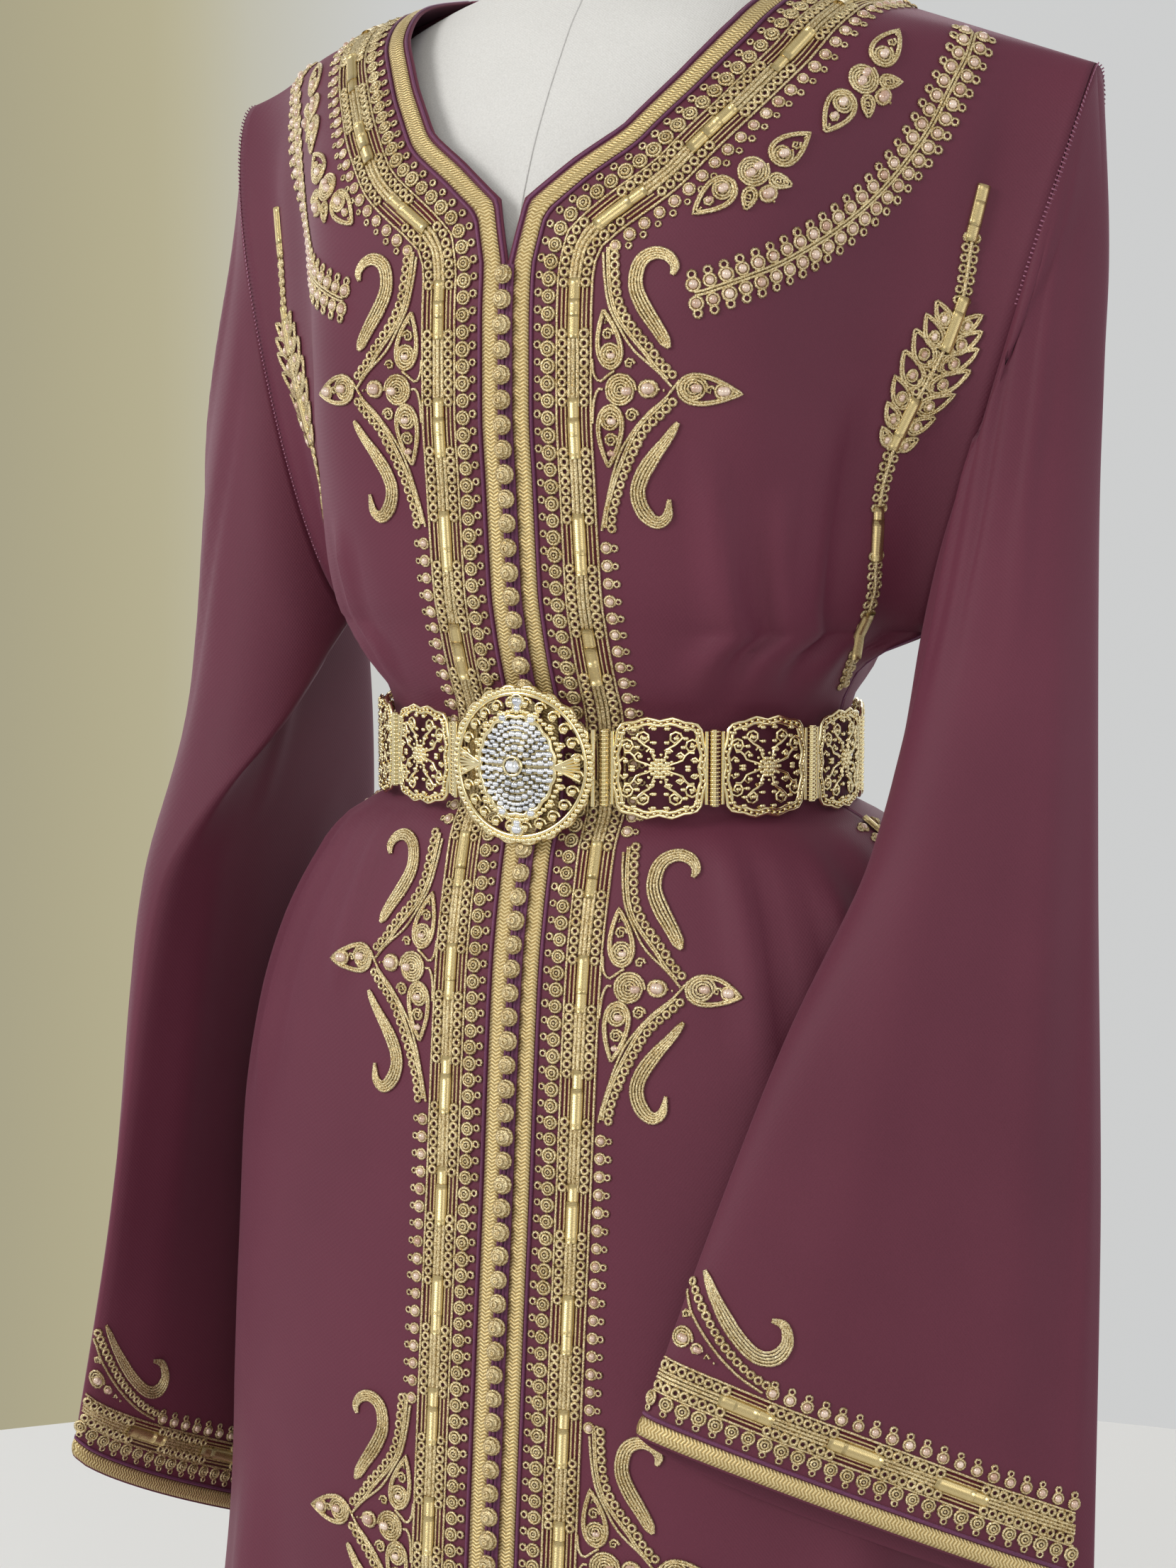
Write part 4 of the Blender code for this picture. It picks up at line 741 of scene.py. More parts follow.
def satinBar(name):  # laid threads that run across the bar
    made = newMaterial(name, specular=0.6)
    _, tree, _, spots = made
    axes = addNode(tree, "ShaderNodeSeparateXYZ", (-700, 0))
    tree.links.new(spots["UV"], axes.inputs[0])
    lines = mathNode(tree, "SINE", times(tree, axes.outputs["X"], 260.0))
    streaks = addNode(tree, "ShaderNodeTexNoise", (-500, -200), Scale=40.0, Detail=2.0)
    tree.links.new(spots["UV"], streaks.inputs["Vector"])
    streak = streaks.outputs["Fac"]
    return setLook(made, scaled(tree, lines, 0.12, streak), ((0.36, 0.24, 0.06), (0.98, 0.82, 0.46)),
            (streak, 0.12, 0.16), (streak, 0.1, 0.88), (lines, 0.3, 0.0002))


def metalMaterial(name, hollow, bright, rough, scale=300.0, metal=1.0):
    made = newMaterial(name, metal=metal)
    _, tree, _, spots = made
    # the edge value lightens sharp edges as a painted highlight and darkens hollows as painted shade
    edge = addGroup(tree, paintedEdgeLight, Amount=7.0).outputs["Edge"]
    scuff = addGroup(tree, grain, spots["Object"], Fine=scale * 4, Slow=scale).outputs
    return setLook(made, scaled(tree, edge, 0.8, times(tree, scuff["Shade"], 0.2)), (hollow, bright),
            (scuff["Grain"], 0.16, rough - 0.08), bump=(scuff["Shade"], 0.12, 0.0003))


def beadMaterial(name, deep, pale, rough, metal, coat):
    made = newMaterial(name, metal=metal, coat=coat, coatRough=0.06, specular=0.7)
    _, tree, _, spots = made
    cloud = addGroup(tree, grain, spots["Object"], Fine=900.0, Slow=110.0).outputs
    return setLook(made, ramp(tree, cloud["Shade"], 0.35, 0.65), (deep, pale), (cloud["Grain"], 0.1, rough - 0.05))


def woodMaterial(name):
    made = newMaterial(name, coat=0.3, coatRough=0.15)
    _, tree, _, spots = made
    rings = addNode(tree, "ShaderNodeTexWave", (-500, 0), Scale=26.0, Distortion=6.0, Detail=3.0)
    tree.links.new(spots["Object"], rings.inputs["Vector"])
    year = rings.outputs["Fac"]
    return setLook(made, year, ((0.055, 0.028, 0.014), (0.13, 0.07, 0.035)), (year, 0.12, 0.32),
            bump=(year, 0.15, 0.0005))


plum = clothMaterial("plumCrepe", (0.087, 0.0145, 0.031), (0.14, 0.028, 0.053), 0.6, (0.8, 0.45, 0.58, 1), sheen=0.16)
darkRed = clothMaterial("darkRedSatin", (0.07, 0.008, 0.016), (0.15, 0.02, 0.035), 0.42, (0.8, 0.5, 0.5, 1),
        sheen=0.2)
plumCord = clothMaterial("plumCord", (0.055, 0.012, 0.04), (0.2, 0.055, 0.13), 0.45, (0.8, 0.5, 0.7, 1), fine=1500.0,
        threads=4200.0, sheen=0.3)
roseThread = clothMaterial("roseThread", (0.2, 0.06, 0.11), (0.46, 0.2, 0.29), 0.42, (0.9, 0.6, 0.8, 1), fine=1500.0)
linen = clothMaterial("formLinen", (0.56, 0.55, 0.53), (0.76, 0.75, 0.73), 0.86, (1, 1, 1, 1), fine=1100.0,
        threads=3000.0, sheen=0.15)
goldCord = goldThread("goldCord", (0.33, 0.21, 0.06), (1.0, 0.87, 0.56), rough=0.32, metal=0.82, fine=1150.0)
goldLine = goldThread("goldLine", (0.4, 0.26, 0.08), (0.98, 0.84, 0.5), rough=0.32, fine=1900.0)
braid = braidMaterial("goldBraid")
satin = satinBar("goldSatin")
pearl = beadMaterial("champagneBead", (0.5, 0.3, 0.21), (0.86, 0.68, 0.55), 0.16, 0.25, 0.8)
crystal = beadMaterial("clearStone", (0.55, 0.57, 0.62), (0.97, 0.98, 1.0), 0.07, 0.75, 1.0)
# for the filigree and the steel, the darker colour is painted shade in hollows and the paler one a painted highlight
# on edges
filigree = metalMaterial("filigreeGold", (0.22, 0.15, 0.045), (0.98, 0.84, 0.5), 0.17)
steel = metalMaterial("brushedSteel", (0.34, 0.34, 0.35), (0.66, 0.66, 0.67), 0.32, scale=80.0)
wood = woodMaterial("darkWood")
print("stage: materials ready")


grids = {}
for side, tag, table in ((1, "Left", sleeveLeft), (-1, "Right", sleeveRight)):
    frontRows = frontGrid(side)
    backRows = backGrid(side, frontRows[-1])
    low = [i for i, place in enumerate(places) if place <= underarmLevel]
    backRows[low, -1] = frontRows[low, -1]
    first = low[-1]
    arms = [blendRows(levels, place)[8] for place in places[first:]]
    arms[0], arms[-1] = 0.0, 1.0
    sleeveRows = sleeveGrid(table, side, frontRows[first:, -1], backRows[first:, -1], arms)
    grids["front" + tag], grids["back" + tag], grids["sleeve" + tag] = frontRows, backRows, sleeveRows
print("stage: cloth surface worked out")

backAll = np.concatenate([grids["backRight"][:, ::-1], grids["backLeft"][:, 1:]], axis=1)  # one piece, no seam
solids = {"frontLeft": "front_left", "frontRight": "front_right", "back": "back", "sleeveLeft": "sleeve_left",
        "sleeveRight": "sleeve_right"}
turnedOver = ("frontRight", "back", "sleeveLeft")  # grids whose faces would point inwards
cloth = {name: clothShell(name, grids.get(name, backAll), name in turnedOver, plum, closed=name.startswith("sleeve"))
        for name in solids}
cloth["back"].name = "backPanel"
for name, thing in cloth.items():
    finishPiece(thing, "crepe", solids[name])
cuts = {  # cut width and length of what shows, what it hangs from and how it is held
    "frontLeft": ((0.41, 1.55), ["formTorso"], "hung"), "frontRight": ((0.41, 1.55), ["formTorso"], "hung"),
    "back": ((0.82, 1.57), ["formTorso"], "hung"), "sleeveLeft": ((0.65, 0.79), ["frontLeft", "backPanel"], "hung"),
    "sleeveRight": ((0.65, 0.91), ["frontRight", "backPanel"], "hung")}
skinPoints, skinFaces = [], []
for outer, faces, normals in outerSkins.values():
    base = len(skinPoints)
    skinPoints.extend(Vector(p) for p in outer)
    skinFaces.extend(tuple(base + i for i in face) for face in faces)
skin = BVHTree.FromPolygons(skinPoints, skinFaces)
print("stage: cloth built", {k: len(v.data.polygons) for k, v in cloth.items()})

# Geometry Nodes: units along a path, and cords


def newTree(name, inputs):
    tree = bpy.data.node_groups.new(name, "GeometryNodeTree")
    tree.interface.new_socket(name="Geometry", in_out="INPUT", socket_type="NodeSocketGeometry")
    for label, kind, value in inputs:
        socket = tree.interface.new_socket(name=label, in_out="INPUT", socket_type="NodeSocket" + kind)
        if value is not None:
            socket.default_value = value
    tree.interface.new_socket(name="Geometry", in_out="OUTPUT", socket_type="NodeSocketGeometry")
    return tree, tree.nodes.new("NodeGroupInput"), tree.nodes.new("NodeGroupOutput")


def linkedNode(tree, kind, feeds, **values):  # feeds: the node's inputs and the outputs that drive them
    node = addNode(tree, kind, **values)
    for label, output in feeds.items():
        tree.links.new(output, node.inputs[label])
    return node


def evenPath(tree, given, step):  # the path as a curve with its points at even steps
    curve = linkedNode(tree, "GeometryNodeMeshToCurve", {"Mesh": given["Geometry"]}).outputs["Curve"]
    even = linkedNode(tree, "GeometryNodeResampleCurve", {"Curve": curve, "Length": given[step]}, mode="LENGTH")
    return even.outputs["Curve"]


def endTree(tree, given, end, geometry):
    real = linkedNode(tree, "GeometryNodeRealizeInstances", {"Geometry": geometry}).outputs["Geometry"]
    coat = linkedNode(tree, "GeometryNodeSetMaterial", {"Geometry": real, "Material": given["Material"]})
    tree.links.new(coat.outputs["Geometry"], end.inputs["Geometry"])
    return tree


def unitTree():  # sews one unit at even steps along each path, standing on the cloth and turned along the path
    tree, start, end = newTree("unitsAlongPath", [
        ("Cloth", "Object", None), ("Unit", "Object", None), ("Pitch", "Float", 0.01),
        ("Lift", "Float", 0.0), ("Turn", "Float", 0.0), ("Size", "Float", 1.0),
        ("Uneven", "Float", 0.06), ("Seed", "Int", 3), ("Material", "Material", None)])
    given = start.outputs
    spaced = evenPath(tree, given, "Pitch")
    skinInfo = linkedNode(tree, "GeometryNodeObjectInfo", {"Object": given["Cloth"]})
    normal = addNode(tree, "GeometryNodeInputNormal")
    up = linkedNode(tree, "GeometryNodeSampleNearestSurface",
            {"Mesh": skinInfo.outputs["Geometry"], "Value": normal.outputs["Normal"]}, data_type="FLOAT_VECTOR")
    upright = linkedNode(tree, "FunctionNodeAlignRotationToVector", {"Vector": up.outputs["Value"]}, axis="Z")
    tangent = addNode(tree, "GeometryNodeInputTangent")
    along = linkedNode(tree, "FunctionNodeAlignRotationToVector",
            {"Rotation": upright.outputs["Rotation"], "Vector": tangent.outputs["Tangent"]},
            axis="X", pivot_axis="Z")
    angle = linkedNode(tree, "ShaderNodeCombineXYZ", {"Z": given["Turn"]})
    euler = linkedNode(tree, "FunctionNodeEulerToRotation", {0: angle.outputs[0]})
    turned = linkedNode(tree, "FunctionNodeRotateRotation",
            {"Rotation": along.outputs["Rotation"], "Rotate By": euler.outputs[0]}, rotation_space="LOCAL")
    chance = addNode(tree, "FunctionNodeRandomValue", data_type="FLOAT")
    for label, value in (("Min", -1.0), ("Max", 1.0)):
        [s for s in chance.inputs if s.name == label and s.type == "VALUE"][0].default_value = value
    tree.links.new(given["Seed"], chance.inputs["Seed"])
    drawn = [s for s in chance.outputs if s.type == "VALUE"][0]
    spread = linkedNode(tree, "ShaderNodeMath", {0: drawn, 1: given["Uneven"]}, operation="MULTIPLY_ADD")
    spread.inputs[2].default_value = 1.0
    size = linkedNode(tree, "ShaderNodeMath", {0: spread.outputs[0], 1: given["Size"]}, operation="MULTIPLY")
    unitInfo = linkedNode(tree, "GeometryNodeObjectInfo", {"Object": given["Unit"]})
    lay = linkedNode(tree, "GeometryNodeInstanceOnPoints",
            {"Points": spaced, "Instance": unitInfo.outputs["Geometry"],
            "Rotation": turned.outputs["Rotation"], "Scale": size.outputs[0]})
    offset = linkedNode(tree, "ShaderNodeCombineXYZ", {"Z": given["Lift"]})
    move = linkedNode(tree, "GeometryNodeTranslateInstances",
            {"Instances": lay.outputs["Instances"], "Translation": offset.outputs[0]})
    move.inputs["Local Space"].default_value = True
    return endTree(tree, given, end, move.outputs["Instances"])


def cordTree():  # a round cord along each path
    tree, start, end = newTree("cordAlongPath", [
        ("Radius", "Float", 0.0007), ("Step", "Float", 0.003), ("Sides", "Int", 6),
        ("Seed", "Int", 1), ("Material", "Material", None)])
    given = start.outputs
    ring = linkedNode(tree, "GeometryNodeCurvePrimitiveCircle",
            {"Resolution": given["Sides"], "Radius": given["Radius"]})
    tube = linkedNode(tree, "GeometryNodeCurveToMesh",
            {"Curve": evenPath(tree, given, "Step"), "Profile Curve": ring.outputs["Curve"]})
    tube.inputs["Fill Caps"].default_value = True
    smooth = linkedNode(tree, "GeometryNodeSetShadeSmooth", {"Geometry": tube.outputs["Mesh"]})
    return endTree(tree, given, end, smooth.outputs["Geometry"])


unitsAlongPath, cordAlongPath = unitTree(), cordTree()


def plainMesh(thing):  # the object's modifiers worked into its mesh
    graph = bpy.context.evaluated_depsgraph_get()
    made = bpy.data.meshes.new_from_object(thing.evaluated_get(graph), depsgraph=graph)
    thing.modifiers.clear()
    thing.data = made
    made.name = thing.name
    return thing


def runTree(name, tree, paths, **values):  # each path a list of points; the result is a plain mesh
    points, edges = [], []
    for path in paths:
        base = len(points)
        points.extend(tuple(map(float, p)) for p in path)
        edges.extend((base + i, base + i + 1) for i in range(len(path) - 1))
    mesh = bpy.data.meshes.new(name)
    mesh.from_pydata(points, edges, [])
    thing = bpy.data.objects.new(name, mesh)
    scene.collection.objects.link(thing)
    modifier = thing.modifiers.new(name, "NODES")
    modifier.node_group = tree
    names = {item.name: item.identifier for item in tree.interface.items_tree
            if item.item_type == "SOCKET" and item.in_out == "INPUT"}
    for key, value in values.items():
        modifier[names[key]] = value
    return plainMesh(thing)


# sewn units: z stands off the cloth and x runs along the path


def ringPoints(major, minor, around, sides, height=0.0, flat=1.0):
    points, faces = [], []
    for i in range(around):
        a = 2 * pi * i / around
        for j in range(sides):
            b = 2 * pi * j / sides
            r = major + minor * cos(b)
            points.append((r * cos(a), r * sin(a), height + flat * minor * sin(b)))
    for i in range(around):
        for j in range(sides):
            k, m = (i + 1) % around, (j + 1) % sides
            faces.append((i * sides + j, k * sides + j, k * sides + m, i * sides + m))
    return points, faces


def domePoints(radius, height, around, rings, low=0.0):
    points, faces = [], []
    for i in range(rings):
        a = pi / 2 * i / rings
        for j in range(around):
            b = 2 * pi * j / around
            points.append((radius * cos(a) * cos(b), radius * cos(a) * sin(b),
                    low + height * sin(a)))
    points.append((0, 0, low + height))
    faces += gridFaces(rings, around, False, True)
    for j in range(around):
        faces.append(((rings - 1) * around + j, (rings - 1) * around + (j + 1) % around, len(points) - 1))
    faces.append(tuple(reversed(range(around))))
    return points, faces


def unitObject(name, parts):
    points, faces = [], []
    for somePoints, someFaces in parts:
        base = len(points)
        points += somePoints
        faces += [tuple(base + i for i in face) for face in someFaces]
    thing = makeObject(name, points, faces)
    spares.append(thing)
    return thing


def barUnitObject(name, long, wide, tall, steps=6, arc=8):  # a padded bar with its own UV
    points, faces, uvs = [], [], []
    for i in range(steps + 1):
        x = long * (i / steps - 0.5)
        for j in range(arc + 1):
            a = pi * j / arc
            points.append((x, -wide / 2 * cos(a), tall * sin(a) ** 0.8))
    row = arc + 1
    for i in range(steps):
        for j in range(arc):
            faces.append((i * row + j, (i + 1) * row + j, (i + 1) * row + j + 1, i * row + j + 1))
            uvs.append([(i / steps, j / arc), ((i + 1) / steps, j / arc), ((i + 1) / steps, (j + 1) / arc),
                    (i / steps, (j + 1) / arc)])
    for i in (0, steps):
        face = tuple(i * row + j for j in range(row))
        faces.append(face if i else tuple(reversed(face)))
        uvs.append([(i / steps, 0.5)] * row)
    thing = makeObject(name, points, faces)
    layUv(thing, uvs)
    spares.append(thing)
    return thing


spares = []
unitShapes = {
    "smallRing": [ringPoints(0.00145, 0.00074, 8, 3)],
    "chainRing": [ringPoints(0.0016, 0.00086, 8, 4)],
    "coil": [ringPoints(0.00325, 0.00088, 12, 4), ringPoints(0.00172, 0.0008, 8, 3, 0.0005),
        domePoints(0.00095, 0.0017, 6, 2)],
    "beadRing": [ringPoints(0.00275, 0.00076, 11, 4)],
    "bead": [domePoints(0.0023, 0.0023, 8, 3)],
    "knot": [domePoints(0.0046, 0.0052, 12, 4, -0.0004), ringPoints(0.0033, 0.0011, 12, 4, 0.0024),
        ringPoints(0.0015, 0.0009, 8, 4, 0.0046), ringPoints(0.0044, 0.0009, 12, 4, 0.0006)],
    "stone": [domePoints(0.0012, 0.0011, 6, 2)],
    "rib": [([(z, x, y) for x, y, z in ringPoints(0.0024, 0.0008, 10, 3)[0]],
        ringPoints(0.0024, 0.0008, 10, 3)[1])],
    "stitch": [([(0.0004 * cos(a), y, 0.0006 * sin(a)) for y in (-0.0014, 0.0014)
        for a in (0, pi / 3, 2 * pi / 3, pi)],
        [(0, 1, 5, 4), (1, 2, 6, 5), (2, 3, 7, 6), (0, 3, 2, 1), (4, 5, 6, 7)])]}
units = {name: unitObject(name, shapes) for name, shapes in unitShapes.items()}
units["bar"] = barUnitObject("bar", 0.0205, 0.0068, 0.0024)


band = {"sfifa": (0.004, 0.0134), "piping": 0.002, "plumCord": 0.015, "picotRing": 0.0188, "coil": 0.0246,
        "innerCord": 0.0296, "chain": (0.033, 0.0452), "ridge": (0.0368, 0.0391, 0.0414), "barLines": (0.0322, 0.0345,
        0.0437, 0.046), "outerCord": 0.0487, "bead": 0.0532, "beadRing": 0.0576, "picotPitch": 0.0087,
        "beadPitch": 0.009, "chainPitch": 0.0047, "barPitch": 0.0595, "barLength": 0.021, "firstBar": 1.2745,
        "motifs": (1.235, 0.929, 0.627, 0.324, 0.021), "motifUp": 0.07, "motifDown": 0.077}


def outerGrid(name):  # the outside of a cloth piece, its points and normals in rows
    outer, _, normals = outerSkins[name]
    return outer.reshape(grids[name].shape), normals.reshape(grids[name].shape)


def bandPath(outer, normals, distance, lift):  # one point a row, at a set distance from the edge
    place = float(np.interp(distance, bandColumns, range(len(bandColumns))))
    low = min(int(place), len(bandColumns) - 2)
    t = place - low
    spots = outer[:, low] * (1 - t) + outer[:, low + 1] * t
    ways = normals[:, low] * (1 - t) + normals[:, low + 1] * t
    return spots + ways / norm(ways, axis=1, keepdims=True) * lift


def partOf(path, start, finish, count):  # a stretch of a path between two row numbers
    return readCurve(path, np.arange(len(path)), np.linspace(start, finish, max(count, 2)))


def rowFinder(lengths):  # tells the row number at a length along a path
    rows = np.arange(len(lengths))

    def toRow(length):
        return float(np.interp(length, lengths, rows))

    return toRow


def splitByMotifs(path, heights):
    runs, run = [], []
    for point, height in zip(path, heights):
        near = any(z - band["motifDown"] < height < z + band["motifUp"] for z in band["motifs"])
        if near:
            if len(run) > 2:
                runs.append(run)
            run = []
        else:
            run.append(point)
    if len(run) > 2:
        runs.append(run)
    return runs


def ribbon(name, leftRail, rightRail, normals, thick, crown, material, across=4):  # flat woven braid with UV
    points, faces, uvs = [], [], []
    middle = (leftRail + rightRail) / 2
    lengths = lengthsOf(middle)
    row = across + 3
    for i in range(len(middle)):
        for j in range(across + 1):
            t = j / across
            plump = 0.35 + 0.65 * sin(pi * min(max(t, 0.02), 0.98)) ** 0.5
            lift = thick * plump + crown * sin(pi * t)
            points.append(leftRail[i] * (1 - t) + rightRail[i] * t + normals[i] * lift)
        points.append(rightRail[i] + normals[i] * 0.0002)
        points.append(leftRail[i] + normals[i] * 0.0002)
    faces += gridFaces(len(middle), row, False, True)
    for i in range(len(middle) - 1):
        for j in range(row):
            k = (j + 1) % row
            a, b = min(j / across, 1.0), min(k / across, 1.0) if k else 0.0
            uvs.append([(lengths[i], a), (lengths[i], b), (lengths[i + 1], b), (lengths[i + 1], a)])
    for i in (0, len(middle) - 1):
        face = tuple(i * row + j for j in range(row))
        faces.append(face if i else tuple(reversed(face)))
        uvs.append([(lengths[i], 0.5)] * row)
    thing = makeObject(name, points, faces, material)
    layUv(thing, uvs)
    bm = bmesh.new()
    bm.from_mesh(thing.data)
    bmesh.ops.recalc_face_normals(bm, faces=bm.faces)
    bm.to_mesh(thing.data)
    bm.free()
    return thing


parts = {"gold": [], "pearl": [], "plum": [], "satin": []}  # meshes of one finish, joined at the end


def cords(name, paths, radius, material=None, kind="gold", step=0.0042, sides=5):
    paths = [p for p in paths if len(p) > 1]
    if paths:
        parts[kind].append(runTree(name, cordAlongPath, paths, Radius=radius, Step=step, Sides=sides,
                Material=material or goldCord))


def unitRow(name, paths, unitName, pitch, lift, cloth_, material=None, kind="gold", size=1.0, seed=3, turn=0.0):
    paths = [p for p in paths if len(p) > 1]
    if paths:
        parts[kind].append(runTree(name, unitsAlongPath, paths, Cloth=cloth_, Unit=units[unitName], Pitch=pitch,
                Lift=lift, Turn=turn, Size=size, Uneven=0.07, Seed=seed,
                Material=material or goldCord))


def beadRow(name, beads, tips, cloth_, seeds=(3, 3), pitch=band["beadPitch"], sizes=(1.0, 1.0, 1.0), tipLift=0.0005):
    unitRow(name + "Beads", beads, "bead", pitch, 0.0002, cloth_, pearl, "pearl", size=sizes[0], seed=seeds[0])
    unitRow(name + "Rings", beads, "beadRing", pitch, 0.0005, cloth_, size=sizes[1], seed=seeds[0])
    unitRow(name + "Tips", tips, "smallRing", pitch, tipLift, cloth_, size=sizes[2], seed=seeds[1])


def buildBand(tag):
    name = "front" + tag
    outer, normals = outerGrid(name)
    cloth_ = cloth[name]
    heights = outer[:, 0, 2]

    def at(distance, lift=0.0):
        return bandPath(outer, normals, distance, lift)

    inner, far = band["sfifa"]
    piece = ribbon("sfifa" + tag, at(inner), at(far), normals[:, 5], 0.0011, 0.0003, braid)
    finishPiece(piece, "gold_braid", "braid_" + tag.lower())
    cords("plumPiping" + tag, [at(band["piping"], 0.0003), at(band["plumCord"], 0.0006)], 0.0009, plumCord, "plum")
    cords("bandCords" + tag, [at(band["innerCord"], 0.0006), at(band["outerCord"], 0.0007)], 0.00075)
    unitRow("picotRings" + tag, [at(band["picotRing"])], "smallRing", band["picotPitch"], 0.0008, cloth_, size=1.15)
    unitRow("picotCoils" + tag, [at(band["coil"])], "coil", band["picotPitch"], 0.0009, cloth_, seed=5, size=1.04)
    beadRow("band" + tag, splitByMotifs(at(band["bead"]), heights), splitByMotifs(at(band["beadRing"]), heights),
            cloth_, seeds=(7, 9))

    middle = at(band["ridge"][1])
    lengths = lengthsOf(middle)
    rows = np.arange(len(middle))
    firstRow = np.interp(band["firstBar"], heights, rows)
    firstLength = np.interp(firstRow, rows, lengths)
    half = band["barLength"] / 2
    blocks, bars = [], []
    for number in range(-26, 8):
        centre = firstLength + number * band["barPitch"]
        if centre - half > 0.004 and centre + half < lengths[-1] - 0.004:
            bars.append(centre)
        low, high = centre + half, centre + band["barPitch"] - half
        low, high = max(low, 0.004), min(high, lengths[-1] - 0.003)
        if high - low > 0.006:
            blocks.append((low, high))
    toRow = rowFinder(lengths)
    chainPaths, ridgePaths = [], []
    for low, high in blocks:
        inset = band["chainPitch"] * 0.45
        for distance in band["chain"]:
            chainPaths.append(partOf(at(distance), toRow(low + inset), toRow(high - inset), 14))
        for index, distance in enumerate(band["ridge"]):
            ridgePaths.append(partOf(at(distance, 0.0011 if index == 1 else 0.0007), toRow(low), toRow(high), 14))
    unitRow("chainRings" + tag, chainPaths, "chainRing", band["chainPitch"], 0.001, cloth_, seed=11, size=1.2)
    cords("chainRidge" + tag, ridgePaths, 0.0013)
    linePaths, barPaths, groundRails = [], [], []
    for centre in bars:
        low, high = toRow(centre - half), toRow(centre + half)
        linePaths += [partOf(at(d, 0.0006), low, high, 8) for d in band["barLines"]]
        barPaths.append(partOf(at(band["ridge"][1]), toRow(centre - half * 0.5), toRow(centre + half * 0.5), 2))
        groundRails.append((partOf(at(0.0305), low, high, 8), partOf(at(0.0476), low, high, 8),
                partOf(at(0.039, 1.0) - at(0.039), low, high, 8)))
    cords("barLines" + tag, linePaths, 0.00055, goldLine)
    unitRow("satinBars" + tag, barPaths, "bar", 0.5, 0.0004, cloth_, satin, "satin")
    for left, right, ways in groundRails:
        piece = ribbon("barGround", left, right, ways, 0.00025, 0.0, darkRed, across=2)
        parts["plum"].append(piece)


# the motifs beside the bands, in millimetres: away from the centre, and up from the motif's point

motif = {
    "leaves": [((60.5, 9.0), (55.4, 39.0), 6.8), ((60.0, -8.8), (57.0, -40.5), 7.0),
        ((93.8, 0.0), (123.0, -3.4), 7.6)],
    "ladders": [[(59.8, 69.5), (60.5, 59.9), (61.4, 52.2), (63, 44.5), (65.5, 37.8), (70, 31), (75.8, 24.3),
        (80.9, 18.5), (85, 12.7), (91.4, 6.2)],
        [(91.5, -7.4), (84.9, -14.1), (78.5, -19.9), (73.1, -27.7), (68.5, -36.4), (63.9, -46.2), (60.3, -56),
        (57.9, -63.9), (57, -70.8)]],
    "ladderCords": [[(53.9, 66.7), (55.2, 55.2), (58.3, 40.7), (64.5, 29.1), (71.7, 18.5), (83.9, 8), (91.1, 0.3)],
        [(95.0, 3.5), (91.8, -0.6), (87, -6.4), (78.8, -13.2), (70.2, -22.9), (63.6, -32.6), (58.9, -44.3),
        (55.4, -56.1), (52.8, -65.9), (51.5, -71.9)],
        [(49.4, 14), (50.3, 6.5), (53.5, 2.6), (57.5, 5.6), (61.5, 8.2)],
        [(49.6, -18), (50.4, -7.5), (52.6, -1.2), (55.4, -1.0)]],
    "hooks": [([(89.8, 19.4), (83.9, 29), (76.7, 39.6), (72.2, 49.2), (72.4, 57.9), (75.4, 63.6), (81.6, 66.2),
        (87.9, 64.4), (91.5, 59.5), (90.2, 55.2)], [(0, 0.3), (0.05, 2.5), (0.3, 3.4), (0.62, 3.1), (0.85, 2.2),
        (0.96, 1.5), (1, 0.4)]),
        ([(94, -17.5), (88.1, -25.7), (80.8, -34.4), (74.2, -44.2), (71.5, -53), (73.8, -61.7), (79.9, -67.5),
        (85.5, -64.5), (87, -55.7)], [(0, 0.3), (0.05, 1.4), (0.35, 3.1), (0.7, 3.3), (0.9, 1.7), (1, 0.2)])],
    "coils": [(64.6, -1.6, 9.2), (69.4, 11.6, 3.6), (70.6, -13.9, 4.3), (59.0, 16.4, 6.4), (57.8, 26.2, 4.0),
        (56.9, 32.4, 2.4), (55.9, 36.6, 1.3), (59.2, -16.4, 6.6), (59.1, -26.4, 4.4), (58.3, -33.2, 2.8),
        (57.2, -37.6, 1.5), (101.6, -0.8, 7.4), (109.0, -1.6, 3.2), (119.6, -3.0, 1.7), (83.6, -1.3, 2.0),
        (86.6, -1.6, 1.2)],
    "beads": [(67.4, -2.0, 1.0), (102.2, -0.6, 1.0), (114.4, -2.1, 1.15), (78.6, -0.8, 1.3), (59.2, -17.0, 0.8),
        (58.2, -33.0, 0.7), (59.0, 15.6, 0.7)],
    "beadRings": [(114.4, -2.1, 1.15), (78.6, -0.8, 1.35)]}
cluster = {  # along the neckline, and away from it
    "leaves": [((-11.0, 0.4), (-37.0, 4.8), 7.6), ((11.0, -0.4), (36.0, -5.0), 7.4), ((5.5, 7.0), (15.0, 15.5), 3.6),
        ((-4.5, 7.5), (-13.0, 16.0), 3.6)],
    "coils": [(0, 0, 9.0), (-18.0, 1.0, 6.4), (-27.0, 2.6, 3.6), (-33.0, 4.0, 2.0), (17.5, -1.0, 6.2),
        (26.0, -2.6, 3.4), (32.0, -4.2, 1.9), (9.0, 10.5, 3.8), (-8.5, 11.0, 3.8), (1.5, 18.5, 1.6)],
    "beads": [(-2.5, 0.5, 1.0), (2.8, -0.8, 0.9), (-18.0, 1.0, 1.0), (17.5, -1.0, 1.0), (0.8, 13.6, 1.2),
        (-27.0, 2.6, 0.7)],
    "beadRings": [(0.8, 13.6, 1.25)],
    "centres": [((0.123, -0.118, 1.341), (0.82, 0.3, 0.5)), ((0.1615, -0.0704, 1.389), (0.55, 0.45, 0.7))]}
